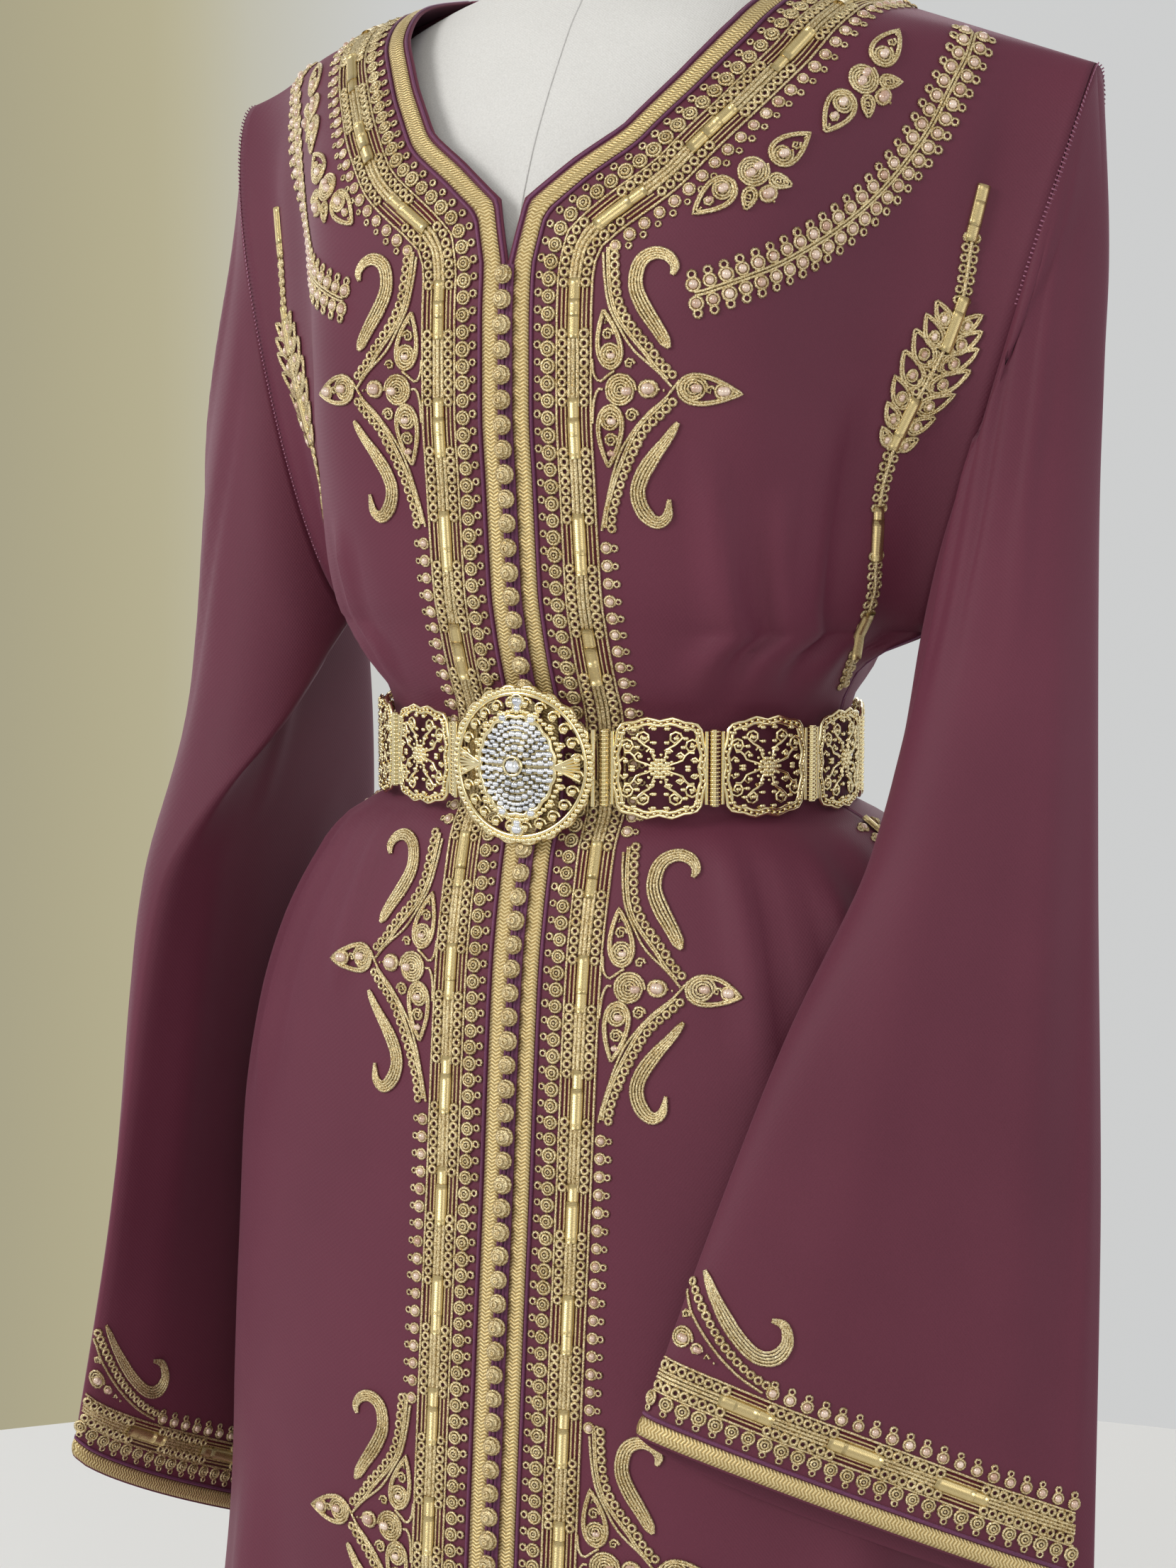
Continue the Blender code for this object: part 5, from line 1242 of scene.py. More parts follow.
crescent = [(0.101, -0.1368, 1.2805), (0.1095, -0.133, 1.283), (0.1339, -0.1147, 1.295), (0.1546, -0.0883, 1.3129),
        (0.1724, -0.0669, 1.3344), (0.187, -0.0476, 1.3626), (0.195, -0.033, 1.389), (0.199, -0.016, 1.412)]
sideTrim = [(0.2109, -0.0294, 1.3335), (0.207, -0.0324, 1.3143), (0.2034, -0.0372, 1.2764), (0.193, -0.0415, 1.25),
        (0.179, -0.052, 1.215), (0.167, -0.054, 1.1835), (0.162, -0.0498, 1.1567), (0.156, -0.044, 1.1247),
        (0.149, -0.04, 1.105), (0.138, -0.0294, 1.078)]
spray = {  # leaves in pairs on both sides of the side trim: along it, and how long and wide
    "start": 0.07, "leaves": [(0.0, 15, 4.2), (0.011, 19, 5.0), (0.022, 22, 5.6), (0.034, 22, 5.6), (0.046, 19, 5.0),
        (0.057, 15, 4.2), (0.067, 11, 3.4)], "slant": 0.75}
hipTrim = [(0.15, -0.018, 1.005), (0.17, -0.016, 0.982), (0.196, -0.013, 0.94), (0.218, -0.01, 0.885),
        (0.232, -0.008, 0.82), (0.238, -0.007, 0.76), (0.242, -0.006, 0.65), (0.246, -0.005, 0.56)]
cuffMotif = {  # along the cuff from its lower corner, and up from the edge
    "ladder": [(3, 84), (13, 74), (27, 62), (44, 53), (60, 49.5)],
    "ladderCord": [(1, 79), (9, 69), (24, 57.5), (40, 49.5), (55, 46.0)],
    "hook": ([(8, 92), (18, 81), (32, 69), (45.5, 62.5), (55, 65), (59, 74), (55, 82.5), (48, 82.5)],
        [(0, 0.3), (0.06, 1.6), (0.3, 3.2), (0.7, 3.2), (0.92, 1.8), (1, 0.4)]),
    "coils": [(7.5, 56, 6.6), (16.5, 53.4, 4.0), (22.5, 51.6, 2.4), (26.5, 50.4, 1.4), (5.5, 67.5, 3.4)],
    "beads": [(7.5, 56, 1.0), (16.5, 53.4, 0.8)]}


def smoothPath(controls, step):  # a curve through its control points, evenly spaced
    controls = np.asarray(controls, float)
    ends = np.vstack([2 * controls[0] - controls[1], controls, 2 * controls[-1] - controls[-2]])
    spots = []
    for i in range(1, len(ends) - 2):
        a, b, c, d = ends[i - 1:i + 3]
        for t in np.linspace(0, 1, 12, endpoint=False):
            spots.append(0.5 * (2 * b + (c - a) * t + (2 * a - 5 * b + 4 * c - d) * t**2
                    + (3 * b - a - 3 * c + d) * t**3))
    spots = np.array(spots + [controls[-1]])
    lengths = lengthsOf(spots)
    return readCurve(spots, lengths, np.linspace(0, lengths[-1], max(int(lengths[-1] / step), 2) + 1))


def coilPath(x, z, radius, pitch=1.5):  # a spiral from the rim inwards
    turns = max(radius / pitch, 1.0)
    count = int(14 + 12 * (turns - 1))
    angles = np.linspace(0, 2 * pi * turns, count)
    reach = radius - pitch * angles / (2 * pi)
    reach = np.maximum(reach, 0.35) - 0.7 * min(1, radius / 3)
    reach = np.maximum(reach, 0.25)
    return np.column_stack([x + reach * np.cos(angles), z + reach * np.sin(angles)])


def leafPath(base, tip, half, inset=0.0):  # a closed outline, round at its base and pointed at its tip
    base, tip = np.array(base, float), np.array(tip, float)
    run = tip - base
    across = np.array([-run[1], run[0]]) / norm(run)
    shares = np.linspace(0, 1, 12) ** 1.4
    wide = (half - inset) * np.sqrt(shares) * (1 - shares) / 0.385
    middle = base + run * (inset / norm(run) + shares[:, None] * (1 - 2.4 * inset / norm(run)))
    return np.vstack([middle + across * wide[:, None], (middle - across * wide[:, None])[-2::-1]])


def acrossFlat(path):
    run = np.gradient(path, axis=0)
    return np.column_stack([-run[:, 1], run[:, 0]]) / norm(run, axis=1, keepdims=True)


def hookPaths(centre, widths, strands=5):  # strands that part in the middle and meet at both ends
    path = smoothPath(centre, 1.6)
    shares = lengthsOf(path) / lengthsOf(path)[-1]
    half = np.interp(shares, *zip(*widths))
    across = acrossFlat(path)
    return [path + across * (half * k)[:, None] for k in np.linspace(-1, 1, strands)]


def onFront(path, side, height, lift):  # laid on the front as seen from straight ahead
    spots = []
    for x, z in path:
        spot, way, _, _ = skin.ray_cast(Vector((side * x / 1000, -1.0, height + z / 1000)), Vector((0, 1, 0)))
        if spot is None:
            return []
        spots.append(spot + way * lift)
    return spots


def onSkin(path, lift):  # laid on the nearest cloth
    spots = []
    for point in path:
        spot, way, _, _ = skin.find_nearest(Vector(point))
        spots.append(spot + way * lift)
    return np.array(spots)


def sideways(path, offset, lift):
    run = np.gradient(np.asarray(path), axis=0)
    ways = np.array([skin.find_nearest(Vector(p))[1] for p in path])
    across = np.cross(run, ways)
    across /= np.maximum(norm(across, axis=1, keepdims=True), 1e-9)
    return onSkin(np.asarray(path) + across * offset, lift)


def bySize(pieces):  # the paths of each size of unit
    return [(size, [path for path, s in pieces if s == size]) for size in sorted({size for _, size in pieces})]


def layShapes(shapes, lay, thick, beads, beadRings):  # leaves, coils and beads of a motif or a cluster
    for base, tip, half in shapes["leaves"]:
        thick += [lay(leafPath(base, tip, half, inset), 0.0009) for inset in (0.0, 1.3)]
    thick += [lay(coilPath(x, z, radius), 0.0007) for x, z, radius in shapes["coils"]]
    for rows, key in ((beads, "beads"), (beadRings, "beadRings")):
        rows += [(lay([(x, z), (x + 1.5, z)], 0.0), size) for x, z, size in shapes[key]]


def buildMotifs(side, tag):
    thick, thin, ladders, beads, beadRings = [], [], [], [], []
    for height in band["motifs"][:-1]:  # the lowest one would pass the hem

        def lay(path, lift):
            return onFront(path, side, height, lift)

        for path in motif["ladders"]:
            dense = smoothPath(path, 1.5)
            ladders.append(lay(dense, 0.0))
            across = acrossFlat(dense)
            for offset in (-2.9, -4.0):
                thin.append(lay(dense + across * offset, 0.0008))
        for path in motif["ladderCords"]:
            thick.append(lay(smoothPath(path, 2.0), 0.0007))
        for centre, widths in motif["hooks"]:
            thick += [lay(path, 0.0009) for path in hookPaths(centre, widths)]
        layShapes(motif, lay, thick, beads, beadRings)
    cloth_ = cloth["front" + tag]
    for centre, axis in cluster["centres"]:
        spot, way, _, _ = skin.find_nearest(Vector((centre[0] * side, centre[1], centre[2])))
        along = Vector((axis[0] * side, axis[1], axis[2]))
        along = (along - way * along.dot(way)).normalized()
        out = along.cross(way) * side
        out = out if out.z < 0 else -out

        def layOn(path, lift):
            return onSkin([spot + along * (a / 1000) + out * (b / 1000) for a, b in path], lift)

        layShapes(cluster, layOn, thick, beads, beadRings)
    cords("motifCords" + tag, thick, 0.00086, step=0.0022, sides=4)
    cords("ladderStrands" + tag, thin, 0.0007, step=0.003, sides=5)
    unitRow("ladderRings" + tag, ladders, "chainRing", 0.0046, 0.0006, cloth_, size=1.12)
    for size, paths in bySize(beads):
        unitRow("motifBeads" + tag, paths, "bead", 0.5, 0.0009, cloth_, pearl, "pearl", size=size)
    for size, paths in bySize(beadRings):
        unitRow("motifBeadRings" + tag, paths, "beadRing", 0.5, 0.0006, cloth_, size=size)


def doubleBeadRow(name, path, cloth_):  # two cords with ringed beads and tips on both sides
    cords(name + "Cords", [sideways(path, off, 0.0007) for off in (-0.00085, 0.00085)], 0.0008)
    for off in (-1, 1):
        beadRow(name, [sideways(path, off * 0.0048, 0.0)], [sideways(path, off * 0.0098, 0.0)], cloth_, seeds=(4, 3),
                pitch=band["beadPitch"] * 0.92, sizes=(1.15, 1.18, 1.25), tipLift=0.0006)


def chainAndBars(name, path, cloth_, start=0.0, offs=(-0.0026, 0.0026)):  # satin bars and blocks of rings in turn
    lengths = lengthsOf(path)
    toRow = rowFinder(lengths)
    place, isBar, bars, rings, ridges = start, True, [], [], []
    while place < lengths[-1] - 0.012:
        high = min(place + (band["barLength"] if isBar else 0.036), lengths[-1])
        if isBar:
            middle = (place + high) / 2
            bars.append(partOf(path, toRow(middle - 0.004), toRow(middle + 0.004), 2))
        else:
            run = partOf(path, toRow(place + 0.002), toRow(high - 0.002), 10)
            rings += [sideways(run, off, 0.0) for off in offs]
            ridges.append(sideways(run, 0.0, 0.0009))
        place, isBar = high, not isBar
    unitRow(name + "Bars", bars, "bar", 0.5, 0.0004, cloth_, satin, "satin")
    unitRow(name + "Rings", rings, "chainRing", band["chainPitch"], 0.0006, cloth_, size=1.1)
    cords(name + "Ridge", ridges, 0.0012)


def onTrim(path, spots, lift):  # spots in millimetres, along a path and to its side
    placed = []
    for along, aside in spots:
        placed.append(pointsAt(sideways(path, aside / 1000, 0.0), [max(along, 0) / 1000])[0])
    return onSkin(placed, lift)


def buildSide(side, tag):

    def onSide(controls):
        return onSkin(smoothPath(np.array(controls) * np.array([side, 1, 1]), 0.003), 0.0)

    cloth_ = cloth["front" + tag]
    doubleBeadRow("crescent" + tag, onSide(crescent), cloth_)
    path = onSide(sideTrim)
    chainAndBars("sideTrim" + tag, path, cloth_)
    outlines, hearts = [], []
    for start, long, half in spray["leaves"]:
        for off in (-1, 1):
            a, b = (spray["start"] + start) * 1000, off * 3.0
            tip = (a - long * spray["slant"], b + off * long * 0.72)
            outlines += [onTrim(path, leafPath((a, b), tip, half, inset), 0.001) for inset in (0.0, 1.3)]
            middle = np.array([a, b]) * 0.66 + np.array(tip) * 0.34
            hearts.append(onTrim(path, [middle, middle + np.array([1.0, 0.0])], 0.0))
    cords("sprayLeaves" + tag, outlines, 0.00086, step=0.0022, sides=4)
    unitRow("sprayCoils" + tag, hearts, "coil", 0.5, 0.0009, cloth_, size=0.8)
    unitRow("sprayBeads" + tag, hearts, "bead", 0.5, 0.0016, cloth_, pearl, "pearl", size=0.7)
    hip = onSide(hipTrim)
    chainAndBars("hipTrim" + tag, hip, cloth_)
    for off in (-1, 1):
        beadRow("hip" + tag, [sideways(hip, off * 0.0082, 0.0)], [sideways(hip, off * 0.013, 0.0)], cloth_)


cuff = {"sfifa": (0.0012, 0.0106), "plumCord": 0.0122, "picotRing": 0.016, "coil": 0.0212, "innerCord": 0.0256,
        "chain": (0.0288, 0.0398), "ridge": (0.0323, 0.0343, 0.0363), "barLines": (0.0282, 0.0302, 0.0384, 0.0404),
        "outerCord": 0.043, "bead": 0.0476, "beadRing": 0.0522, "beadsFrom": 0.06, "endsAt": 0.93}


def cuffPaths(side, tag):
    outer, normals = outerGrid("sleeve" + tag)
    middle = (outer.shape[1] + 2) // 2

    def loop(distance, lift, columns):
        spots = []
        for column in columns:
            line, ways = outer[::-1, column][:40], normals[::-1, column][:40]
            lengths = lengthsOf(line)
            spot, way = (readCurve(curve, lengths, [distance])[0] for curve in (line, ways))
            spots.append(spot + way * lift)
        return np.array(spots)

    far = list(range(outer.shape[1] - 1, middle - 2, -1))  # the right sleeve hangs turned, so its worked half is this
    return loop, list(range(middle)) if side > 0 else [0] + far, list(range(outer.shape[1])) + [0], normals[-1]


def buildCuff(side, tag):
    loop, frontColumns, allColumns, edgeNormals = cuffPaths(side, tag)
    cloth_ = cloth["sleeve" + tag]
    inner, far = cuff["sfifa"]
    piece = ribbon("cuffSfifa" + tag, loop(inner, 0, allColumns), loop(far, 0, allColumns),
            edgeNormals[allColumns], 0.0011, 0.0003, braid)
    finishPiece(piece, "gold_braid", "cuff_braid_" + tag.lower())
    cords("cuffPlumCord" + tag, [loop(cuff["plumCord"], 0.0005, allColumns)], 0.0009, plumCord, "plum")

    def at(distance, lift=0.0):
        path = loop(distance, lift, frontColumns)
        lengths = lengthsOf(path)
        return pointsAt(path, np.linspace(0.002, lengths[-1] * cuff["endsAt"], 160))

    cords("cuffCords" + tag, [at(cuff["innerCord"], 0.0006), at(cuff["outerCord"], 0.0007)], 0.00075)
    unitRow("cuffPicotRings" + tag, [at(cuff["picotRing"])], "smallRing", band["picotPitch"], 0.0005, cloth_)
    unitRow("cuffPicotCoils" + tag, [at(cuff["coil"])], "coil", band["picotPitch"], 0.0005, cloth_)
    ridge = at(cuff["ridge"][1])
    lengths = lengthsOf(ridge)
    toRow = rowFinder(lengths)
    start = int(toRow(cuff["beadsFrom"]))
    beadRow("cuff" + tag, [at(cuff["bead"])[start:]], [at(cuff["beadRing"])[start:]], cloth_)
    place, rings, ridges, lines, bars = 0.0, [], [], [], []
    while place < lengths[-1] - 0.006:
        high = min(place + 0.0375, lengths[-1])
        rings += [partOf(at(d), toRow(place + 0.002), toRow(high - 0.002), 12) for d in cuff["chain"]]
        ridges += [partOf(at(d, 0.0009), toRow(place), toRow(high), 12) for d in cuff["ridge"]]
        place = high
        if place < lengths[-1] - 0.022:
            low, high = toRow(place), toRow(place + band["barLength"])
            lines += [partOf(at(d, 0.0006), low, high, 8) for d in cuff["barLines"]]
            centre = place + band["barLength"] / 2
            bars.append(partOf(ridge, toRow(centre - 0.004), toRow(centre + 0.004), 2))
            ways = at(cuff["ridge"][1], 1.0) - ridge
            parts["plum"].append(ribbon("cuffBarGround", partOf(at(0.0264), low, high, 8),
                    partOf(at(0.0422), low, high, 8), partOf(ways, low, high, 8), 0.00025, 0.0,
                    darkRed, across=2))
            place += band["barLength"]
    unitRow("cuffChain" + tag, rings, "chainRing", band["chainPitch"], 0.001, cloth_, size=1.2)
    cords("cuffRidge" + tag, ridges, 0.001)
    cords("cuffBarLines" + tag, lines, 0.00055, goldLine)
    unitRow("cuffBars" + tag, bars, "bar", 0.5, 0.0004, cloth_, satin, "satin")

    def spotAt(a, b):
        path = loop(b / 1000, 0.0, frontColumns)
        return pointsAt(path, [max(a, 0.5) / 1000])[0]

    def lay(path, lift):
        return onSkin([spotAt(a, b) for a, b in path], lift)

    thick = [lay(path, 0.0009) for path in hookPaths(*cuffMotif["hook"])]
    thick += [lay(smoothPath(cuffMotif["ladderCord"], 2.0), 0.0007)]
    thick += [lay(coilPath(a, b, r), 0.0007) for a, b, r in cuffMotif["coils"]]
    cords("cuffMotifCords" + tag, thick, 0.00086, step=0.0022, sides=4)
    unitRow("cuffLadder" + tag, [lay(smoothPath(cuffMotif["ladder"], 2.0), 0.0)], "chainRing", 0.0046, 0.0006, cloth_,
            size=1.12)
    for a, b, size in cuffMotif["beads"]:
        unitRow("cuffMotifBeads" + tag, [lay([(a, b), (a + 1.5, b)], 0.0)], "bead", 0.5, 0.0009, cloth_, pearl,
                "pearl", size=size)


buttons = {"pitch": 0.0125, "count": 100, "top": 1.298, "stand": (-0.0032, -0.0011, 0.0011, 0.0032)}


def buildButtons():
    outer, _ = outerGrid("frontLeft")
    line = outer[[i for i, place in enumerate(places) if place < cornerLevel], 0]
    line = line[::-1] * np.array([0, 1, 1])
    lengths = lengthsOf(line)
    top = np.interp(-buttons["top"], -line[:, 2], lengths)
    stops = top + buttons["pitch"] * (np.arange(buttons["count"]) + 0.5)
    path = pointsAt(line, stops)
    sides = [path + np.array([x, 0, 0]) for x in (-0.03, 0.03)]
    facing = makeObject("buttonFacing", [tuple(p) for rail in sides for p in rail],
            gridFaces(2, len(path), False, False))
    spares.append(facing)
    knots = runTree("knotButtons", unitsAlongPath, [path - np.array([0, 0.004, 0])], Cloth=facing,
            Unit=units["knot"], Pitch=buttons["pitch"], Lift=0.0, Turn=0.6, Size=1.0, Uneven=0.05, Seed=2,
            Material=goldCord)
    finishPiece(knots, "gold_cord", "button_row")
    stand = pointsAt(line, np.linspace(stops[0] - 0.005, stops[-1] + 0.004, 260))
    cords("buttonStand", [stand + np.array([x, -0.0006, 0]) for x in buttons["stand"]], 0.0011, plumCord, "plum",
          step=0.005)


def buildNeckBraid():
    rows = [i for i, place in enumerate(places) if place >= backNeckLevel]
    left = grids["backLeft"][rows[::-1], 0]
    right = grids["backRight"][rows[1:], 0]
    path = smoothPath(np.vstack([left, right])[::2], 0.004)[1:-1]
    rails = [[sideways(path, off * d, 0.0002) for d in band["sfifa"]] for off in (1, -1)]
    low, high = rails[int(np.argmin([far[:, 2].mean() for _, far in rails]))]  # the lower pair is on the cloth
    ways = onSkin((low + high) / 2, 1.0) - onSkin((low + high) / 2, 0.0)
    piece = ribbon("sfifaNeck", low, high, ways, 0.0011, 0.0003, braid)
    finishPiece(piece, "gold_braid", "braid_neck")
    cords("neckPiping", [onSkin(path, 0.0002)], 0.0009, plumCord, "plum")


def buildSeams(tag):
    outer, _ = outerGrid("sleeve" + tag)
    armhole = onSkin(np.vstack([outer[0], outer[:1, 0]]), 0.0)
    unitRow("seamStitches" + tag, [armhole], "stitch", 0.0024, 0.0001, cloth["front" + tag], roseThread, "plum")
    frontOuter, _ = outerGrid("front" + tag)
    sideLine = frontOuter[[i for i, place in enumerate(places) if place <= underarmLevel], -1]
    cords("sideSeam" + tag, [onSkin(sideLine, 0.0)], 0.00045, plumCord, "plum", step=0.006, sides=5)


belt = {"height": 1.04, "shift": -0.018, "halfX": 0.1375, "halfY": 0.1105, "plates": 12, "buckleWide": 0.083,
        "buckleOff": 0.005, "hingeWide": 0.006, "wire": 0.001, "plateTall": 52.0,
        # one quarter of a plate, in mm from its centre: scroll centre and size
        "scrolls": [(8.2, 15.6, 4.6), (16.6, 11.4, 4.8), (17.8, 3.6, 3.2), (4.2, 8.6, 3.2), (10.4, 6.2, 3.4),
        (3.4, 20.6, 2.8), (13.6, 20.0, 2.8), (19.4, 18.2, 2.6), (14.2, 0.8, 2.2),
        (3.2, 13.4, 2.2), (11.8, 11.0, 2.0), (13.0, 15.6, 2.0)],
        "stems": [[(0, 1.5), (3, 5), (4, 10), (8, 12), (12, 16)], [(1.5, 0), (7, 2.5), (12, 4), (14, 8), (18, 8)]]}
ringAngles = np.linspace(0, 2 * pi, 721)
ringSpots = np.column_stack([belt["halfX"] * np.sin(ringAngles), belt["shift"] - belt["halfY"] * np.cos(ringAngles)])
ringLengths = lengthsOf(ringSpots)


def onBelt(along, tall, out=0.0):  # millimetres round the ring from the front, up, and outwards
    angle = np.interp((along / 1000) % ringLengths[-1], ringLengths, ringAngles)
    way = unit([sin(angle) / belt["halfX"], -cos(angle) / belt["halfY"]])
    spot = np.array([belt["halfX"] * sin(angle), belt["shift"] - belt["halfY"] * cos(angle)])
    x, y = spot + way * out / 1000
    return np.array([x, y, belt["height"] + tall / 1000])


def scallop(wide, tall, lobes, depth, count=96, inset=0.0):
    spots = []
    for i in range(count + 1):
        a = 2 * pi * i / count
        swing = 1 - depth * (0.5 + 0.5 * cos(lobes * a))
        square = (abs(cos(a)) ** 4 + abs(sin(a)) ** 4) ** -0.25
        spots.append(((wide / 2 - inset) * cos(a) * square * swing,
                (tall / 2 - inset) * sin(a) * square * swing))
    return spots


def buildBeltForm():  # an upright ring that only tells the belt's units which way is out
    rows = [[onBelt(ringLengths[-1] * 1000 * k / 96, t) for k in range(96)] for t in (-60, 60)]
    points = [p for row in rows for p in row]
    thing = makeObject("beltForm", points, gridFaces(2, 96, False, True))
    spares.append(thing)
    return thing


beltForm = buildBeltForm()


def dot(x, z):  # a path that holds just one unit
    return [(x, z), (x + 1, z)]


def circle(radius, count, x=0.0, z=0.0):
    return [(x + radius * cos(t), z + radius * sin(t)) for t in np.linspace(0, 2 * pi, count)]


def roundOval(count, wide, tall, turn=0.0):  # spots evenly round an oval, given by its half sizes
    angles = [2 * pi * (k + turn) / count for k in range(count)]
    return [(wide * cos(t), tall * sin(t)) for t in angles]


def beltCords(name, paths, radius, step, sides):
    return runTree(name, cordAlongPath, paths, Radius=radius, Step=step, Sides=sides, Material=filigree)


def beltUnits(name, paths, size, seed, pitch=0.5, uneven=0.05, unitName="stone", material=filigree):
    return runTree(name, unitsAlongPath, paths, Cloth=beltForm, Unit=units[unitName], Pitch=pitch, Lift=0.0, Turn=0.0,
            Size=size, Uneven=uneven, Seed=seed, Material=material)


def buildPlates():
    around, hinge, half = ringLengths[-1] * 1000, belt["hingeWide"] * 1000, belt["plateTall"] / 2 - 7
    start = belt["buckleWide"] / 2 * 1000
    pitch = (around - belt["buckleWide"] * 1000 - hinge) / belt["plates"]
    wide = pitch - hinge - 0.6

    def edge(inset=0.0):
        return scallop(wide - 2.2, belt["plateTall"], 12, 0.065, inset=inset)

    frames, wires, studs, flowers, borders, ribs = [], [], [], [], [], []
    for number in range(belt["plates"]):
        middle = start + hinge + number * pitch + (pitch - hinge) / 2

        def lay(path, out=0.0):
            return [onBelt(middle + a, b, out) for a, b in path]

        frames += [lay(edge()), lay(edge(2.6), 0.2)]
        for sx in (-1, 1):
            frames.append(lay([(sx * (wide / 2 - 1.0), t) for t in (-half, -9, 0, 9, half)]))
            for sy in (-1, 1):
                for x, z, r in belt["scrolls"]:
                    wires.append(lay([(sx * (x + a), sy * (z + b)) for a, b in coilPath(0, 0, r, 1.9)], 0.4))
                    studs.append(lay(dot(sx * x, sy * z), 0.9))
                for stem in belt["stems"]:
                    wires.append(lay([(sx * a, sy * b) for a, b in smoothPath(stem, 1.6)], 0.7))
        for ring, count in ((2.4, 8), (4.6, 10)):
            flowers += [lay(dot(x, z), 1.2) for x, z in roundOval(count, ring, ring)]
        flowers.append(lay(dot(0, 0), 1.6))
        borders += [lay(edge(1.3), 1.0), lay(circle(7.2, 24), 0.8)]
    for number in range(belt["plates"] + 1):
        middle = start + hinge / 2 + number * pitch
        ribs.append([onBelt(middle, t) for t in np.linspace(-half, half, 5)])
    plates = joinMeshes("beltPlates", [
        beltCords("plateFrames", frames, 0.0011, 0.0034, 6), beltCords("plateWires", wires, belt["wire"], 0.0028, 4),
        beltUnits("plateBorders", borders, 0.95, 3, pitch=0.0034), beltUnits("plateStuds", studs, 1.1, 1),
        beltUnits("plateFlowers", flowers, 1.15, 2, uneven=0.1)])
    finishPiece(plates, "belt_metal", *[f"belt_plate_{k + 1:02d}" for k in range(belt["plates"])])
    finishPiece(beltUnits("hingeRibs", ribs, 1.0, 1, pitch=0.0021, uneven=0.0, unitName="rib"), "belt_metal")
    for number in range(belt["plates"] + 1):
        coatNode(f"belt_hinge_{number + 1:02d}", filigree)


def coatNode(name, material):  # a finish on a solid that shows as it is
    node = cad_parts[name]
    node.data.materials.clear()
    node.data.materials.append(material)


def buildBuckle():
    rise = belt["buckleOff"] * 1000

    def dome(a, b):  # how far the buckle crowns
        return 3.2 * max(0.0, 1 - (a / 41.5) ** 2 - (b / 42.5) ** 2)

    def lay(path, out=0.0):
        return [onBelt(a, b, rise + dome(a, b) + out) for a, b in path]

    def oval(wide, tall, lobes=0, depth=0.0, count=120):
        spots = []
        for i in range(count + 1):
            t = 2 * pi * i / count
            swing = 1 - depth * (0.5 + 0.5 * cos(lobes * t))
            spots.append((wide / 2 * cos(t) * swing, tall / 2 * sin(t) * swing))
        return spots

    rims, wires, golds, stones, bezels = [], [], [], [], []
    rims += [lay(oval(81, 83, 20, 0.045)), lay(oval(73, 75), 0.3), lay(oval(43, 53, 16, 0.05), 1.4)]
    for count, wide, tall, size in ((84, 38.5, 39.5, 1.35), (56, 23.5, 28.5, 1.2)):  # rows of gold grains
        golds += [(lay(dot(x, z), 0.9), size) for x, z in roundOval(count, wide, tall)]
    rims += [lay([(side * 39.8, t) for t in np.linspace(-20, 20, 9)]) for side in (-1, 1)]
    for count, turn, wide, tall, radius, pitch, out, size in (  # scrolls round the border, and inside it
            (24, 0.5, 32.0, 32.6, 4.2, 1.9, 0.5, 1.5), (16, 0.0, 25.6, 28.2, 3.0, 1.7, 0.6, 1.2)):
        for x, z in roundOval(count, wide, tall, turn):
            wires.append(lay([(x + a, z + b) for a, b in coilPath(0, 0, radius, pitch)], out))
            golds.append((lay(dot(x, z), 1.2), size))
    for side in (-1, 1):  # leaf sprays to both sides
        for bend in (-7, -4.5, -2, 0, 2, 4.5, 7):
            wires.append(lay(smoothPath([(side * 20, 0), (side * 27, bend * 0.5), (side * 34, bend)], 1.5), 1.6))
    for r, count, size in ((0.27, 10, 1.0), (0.42, 14, 1.5), (0.57, 24, 1.0), (0.72, 24, 1.5), (0.86, 44, 1.0),
            (0.98, 32, 1.5)):  # clear stones in ovals on the medallion
        stones += [(lay(dot(x, z), 1.5 + 1.6 * (1 - r * r)), size)
                for x, z in roundOval(count, 19.2 * r, 23.4 * r, 0.5)]
    for x, z, size in ((0, 0, 3.6), (0, 33.5, 2.6), (0, -33.5, 2.6), (0, 30.0, 1.6), (0, -30.0, 1.6), (-8, 24.5, 1.8),
            (8, 24.5, 1.8), (-8, -24.5, 1.8), (8, -24.5, 1.8)):
        out = 4.4 if not x and not z else 1.6
        stones.append((lay(dot(x, z), out), size))
        bezels.append(lay(circle(size * 1.35, 20, x, z), out))
    made = [beltCords("buckleRims", rims, 0.0013, 0.0024, 7), beltCords("buckleWires", wires, 0.00085, 0.0018, 5),
            beltCords("buckleBezels", bezels, 0.0008, 0.0015, 5)]
    for pieces, material, seed in ((golds, filigree, 1), (stones, crystal, 2)):
        made += [beltUnits("buckleStones", paths, size, seed, material=material) for size, paths in bySize(pieces)]
    plate = [onBelt(0, 0, rise + 4.6)]
    rings, around = 8, 40
    for ring in range(1, rings + 1):
        plate += [onBelt(a, b, rise + dome(a, b) + 1.6 * (1 - (ring / rings) ** 2) + 0.2)
                for a, b in roundOval(around, 20.6 * ring / rings, 25.4 * ring / rings)]
    faces = [(0, 1 + k, 1 + (k + 1) % around) for k in range(around)]
    for ring in range(1, rings):
        for k in range(around):
            i, j = 1 + (ring - 1) * around + k, 1 + (ring - 1) * around + (k + 1) % around
            faces.append((i, i + around, j + around, j))
    sheet = makeObject("medallion", plate, faces, filigree)
    solid = sheet.modifiers.new("thick", "SOLIDIFY")
    solid.thickness = 0.0008
    made.append(plainMesh(sheet))
    buckle = joinMeshes("beltBuckle", made)
    finishPiece(buckle, "belt_metal", "belt_buckle")


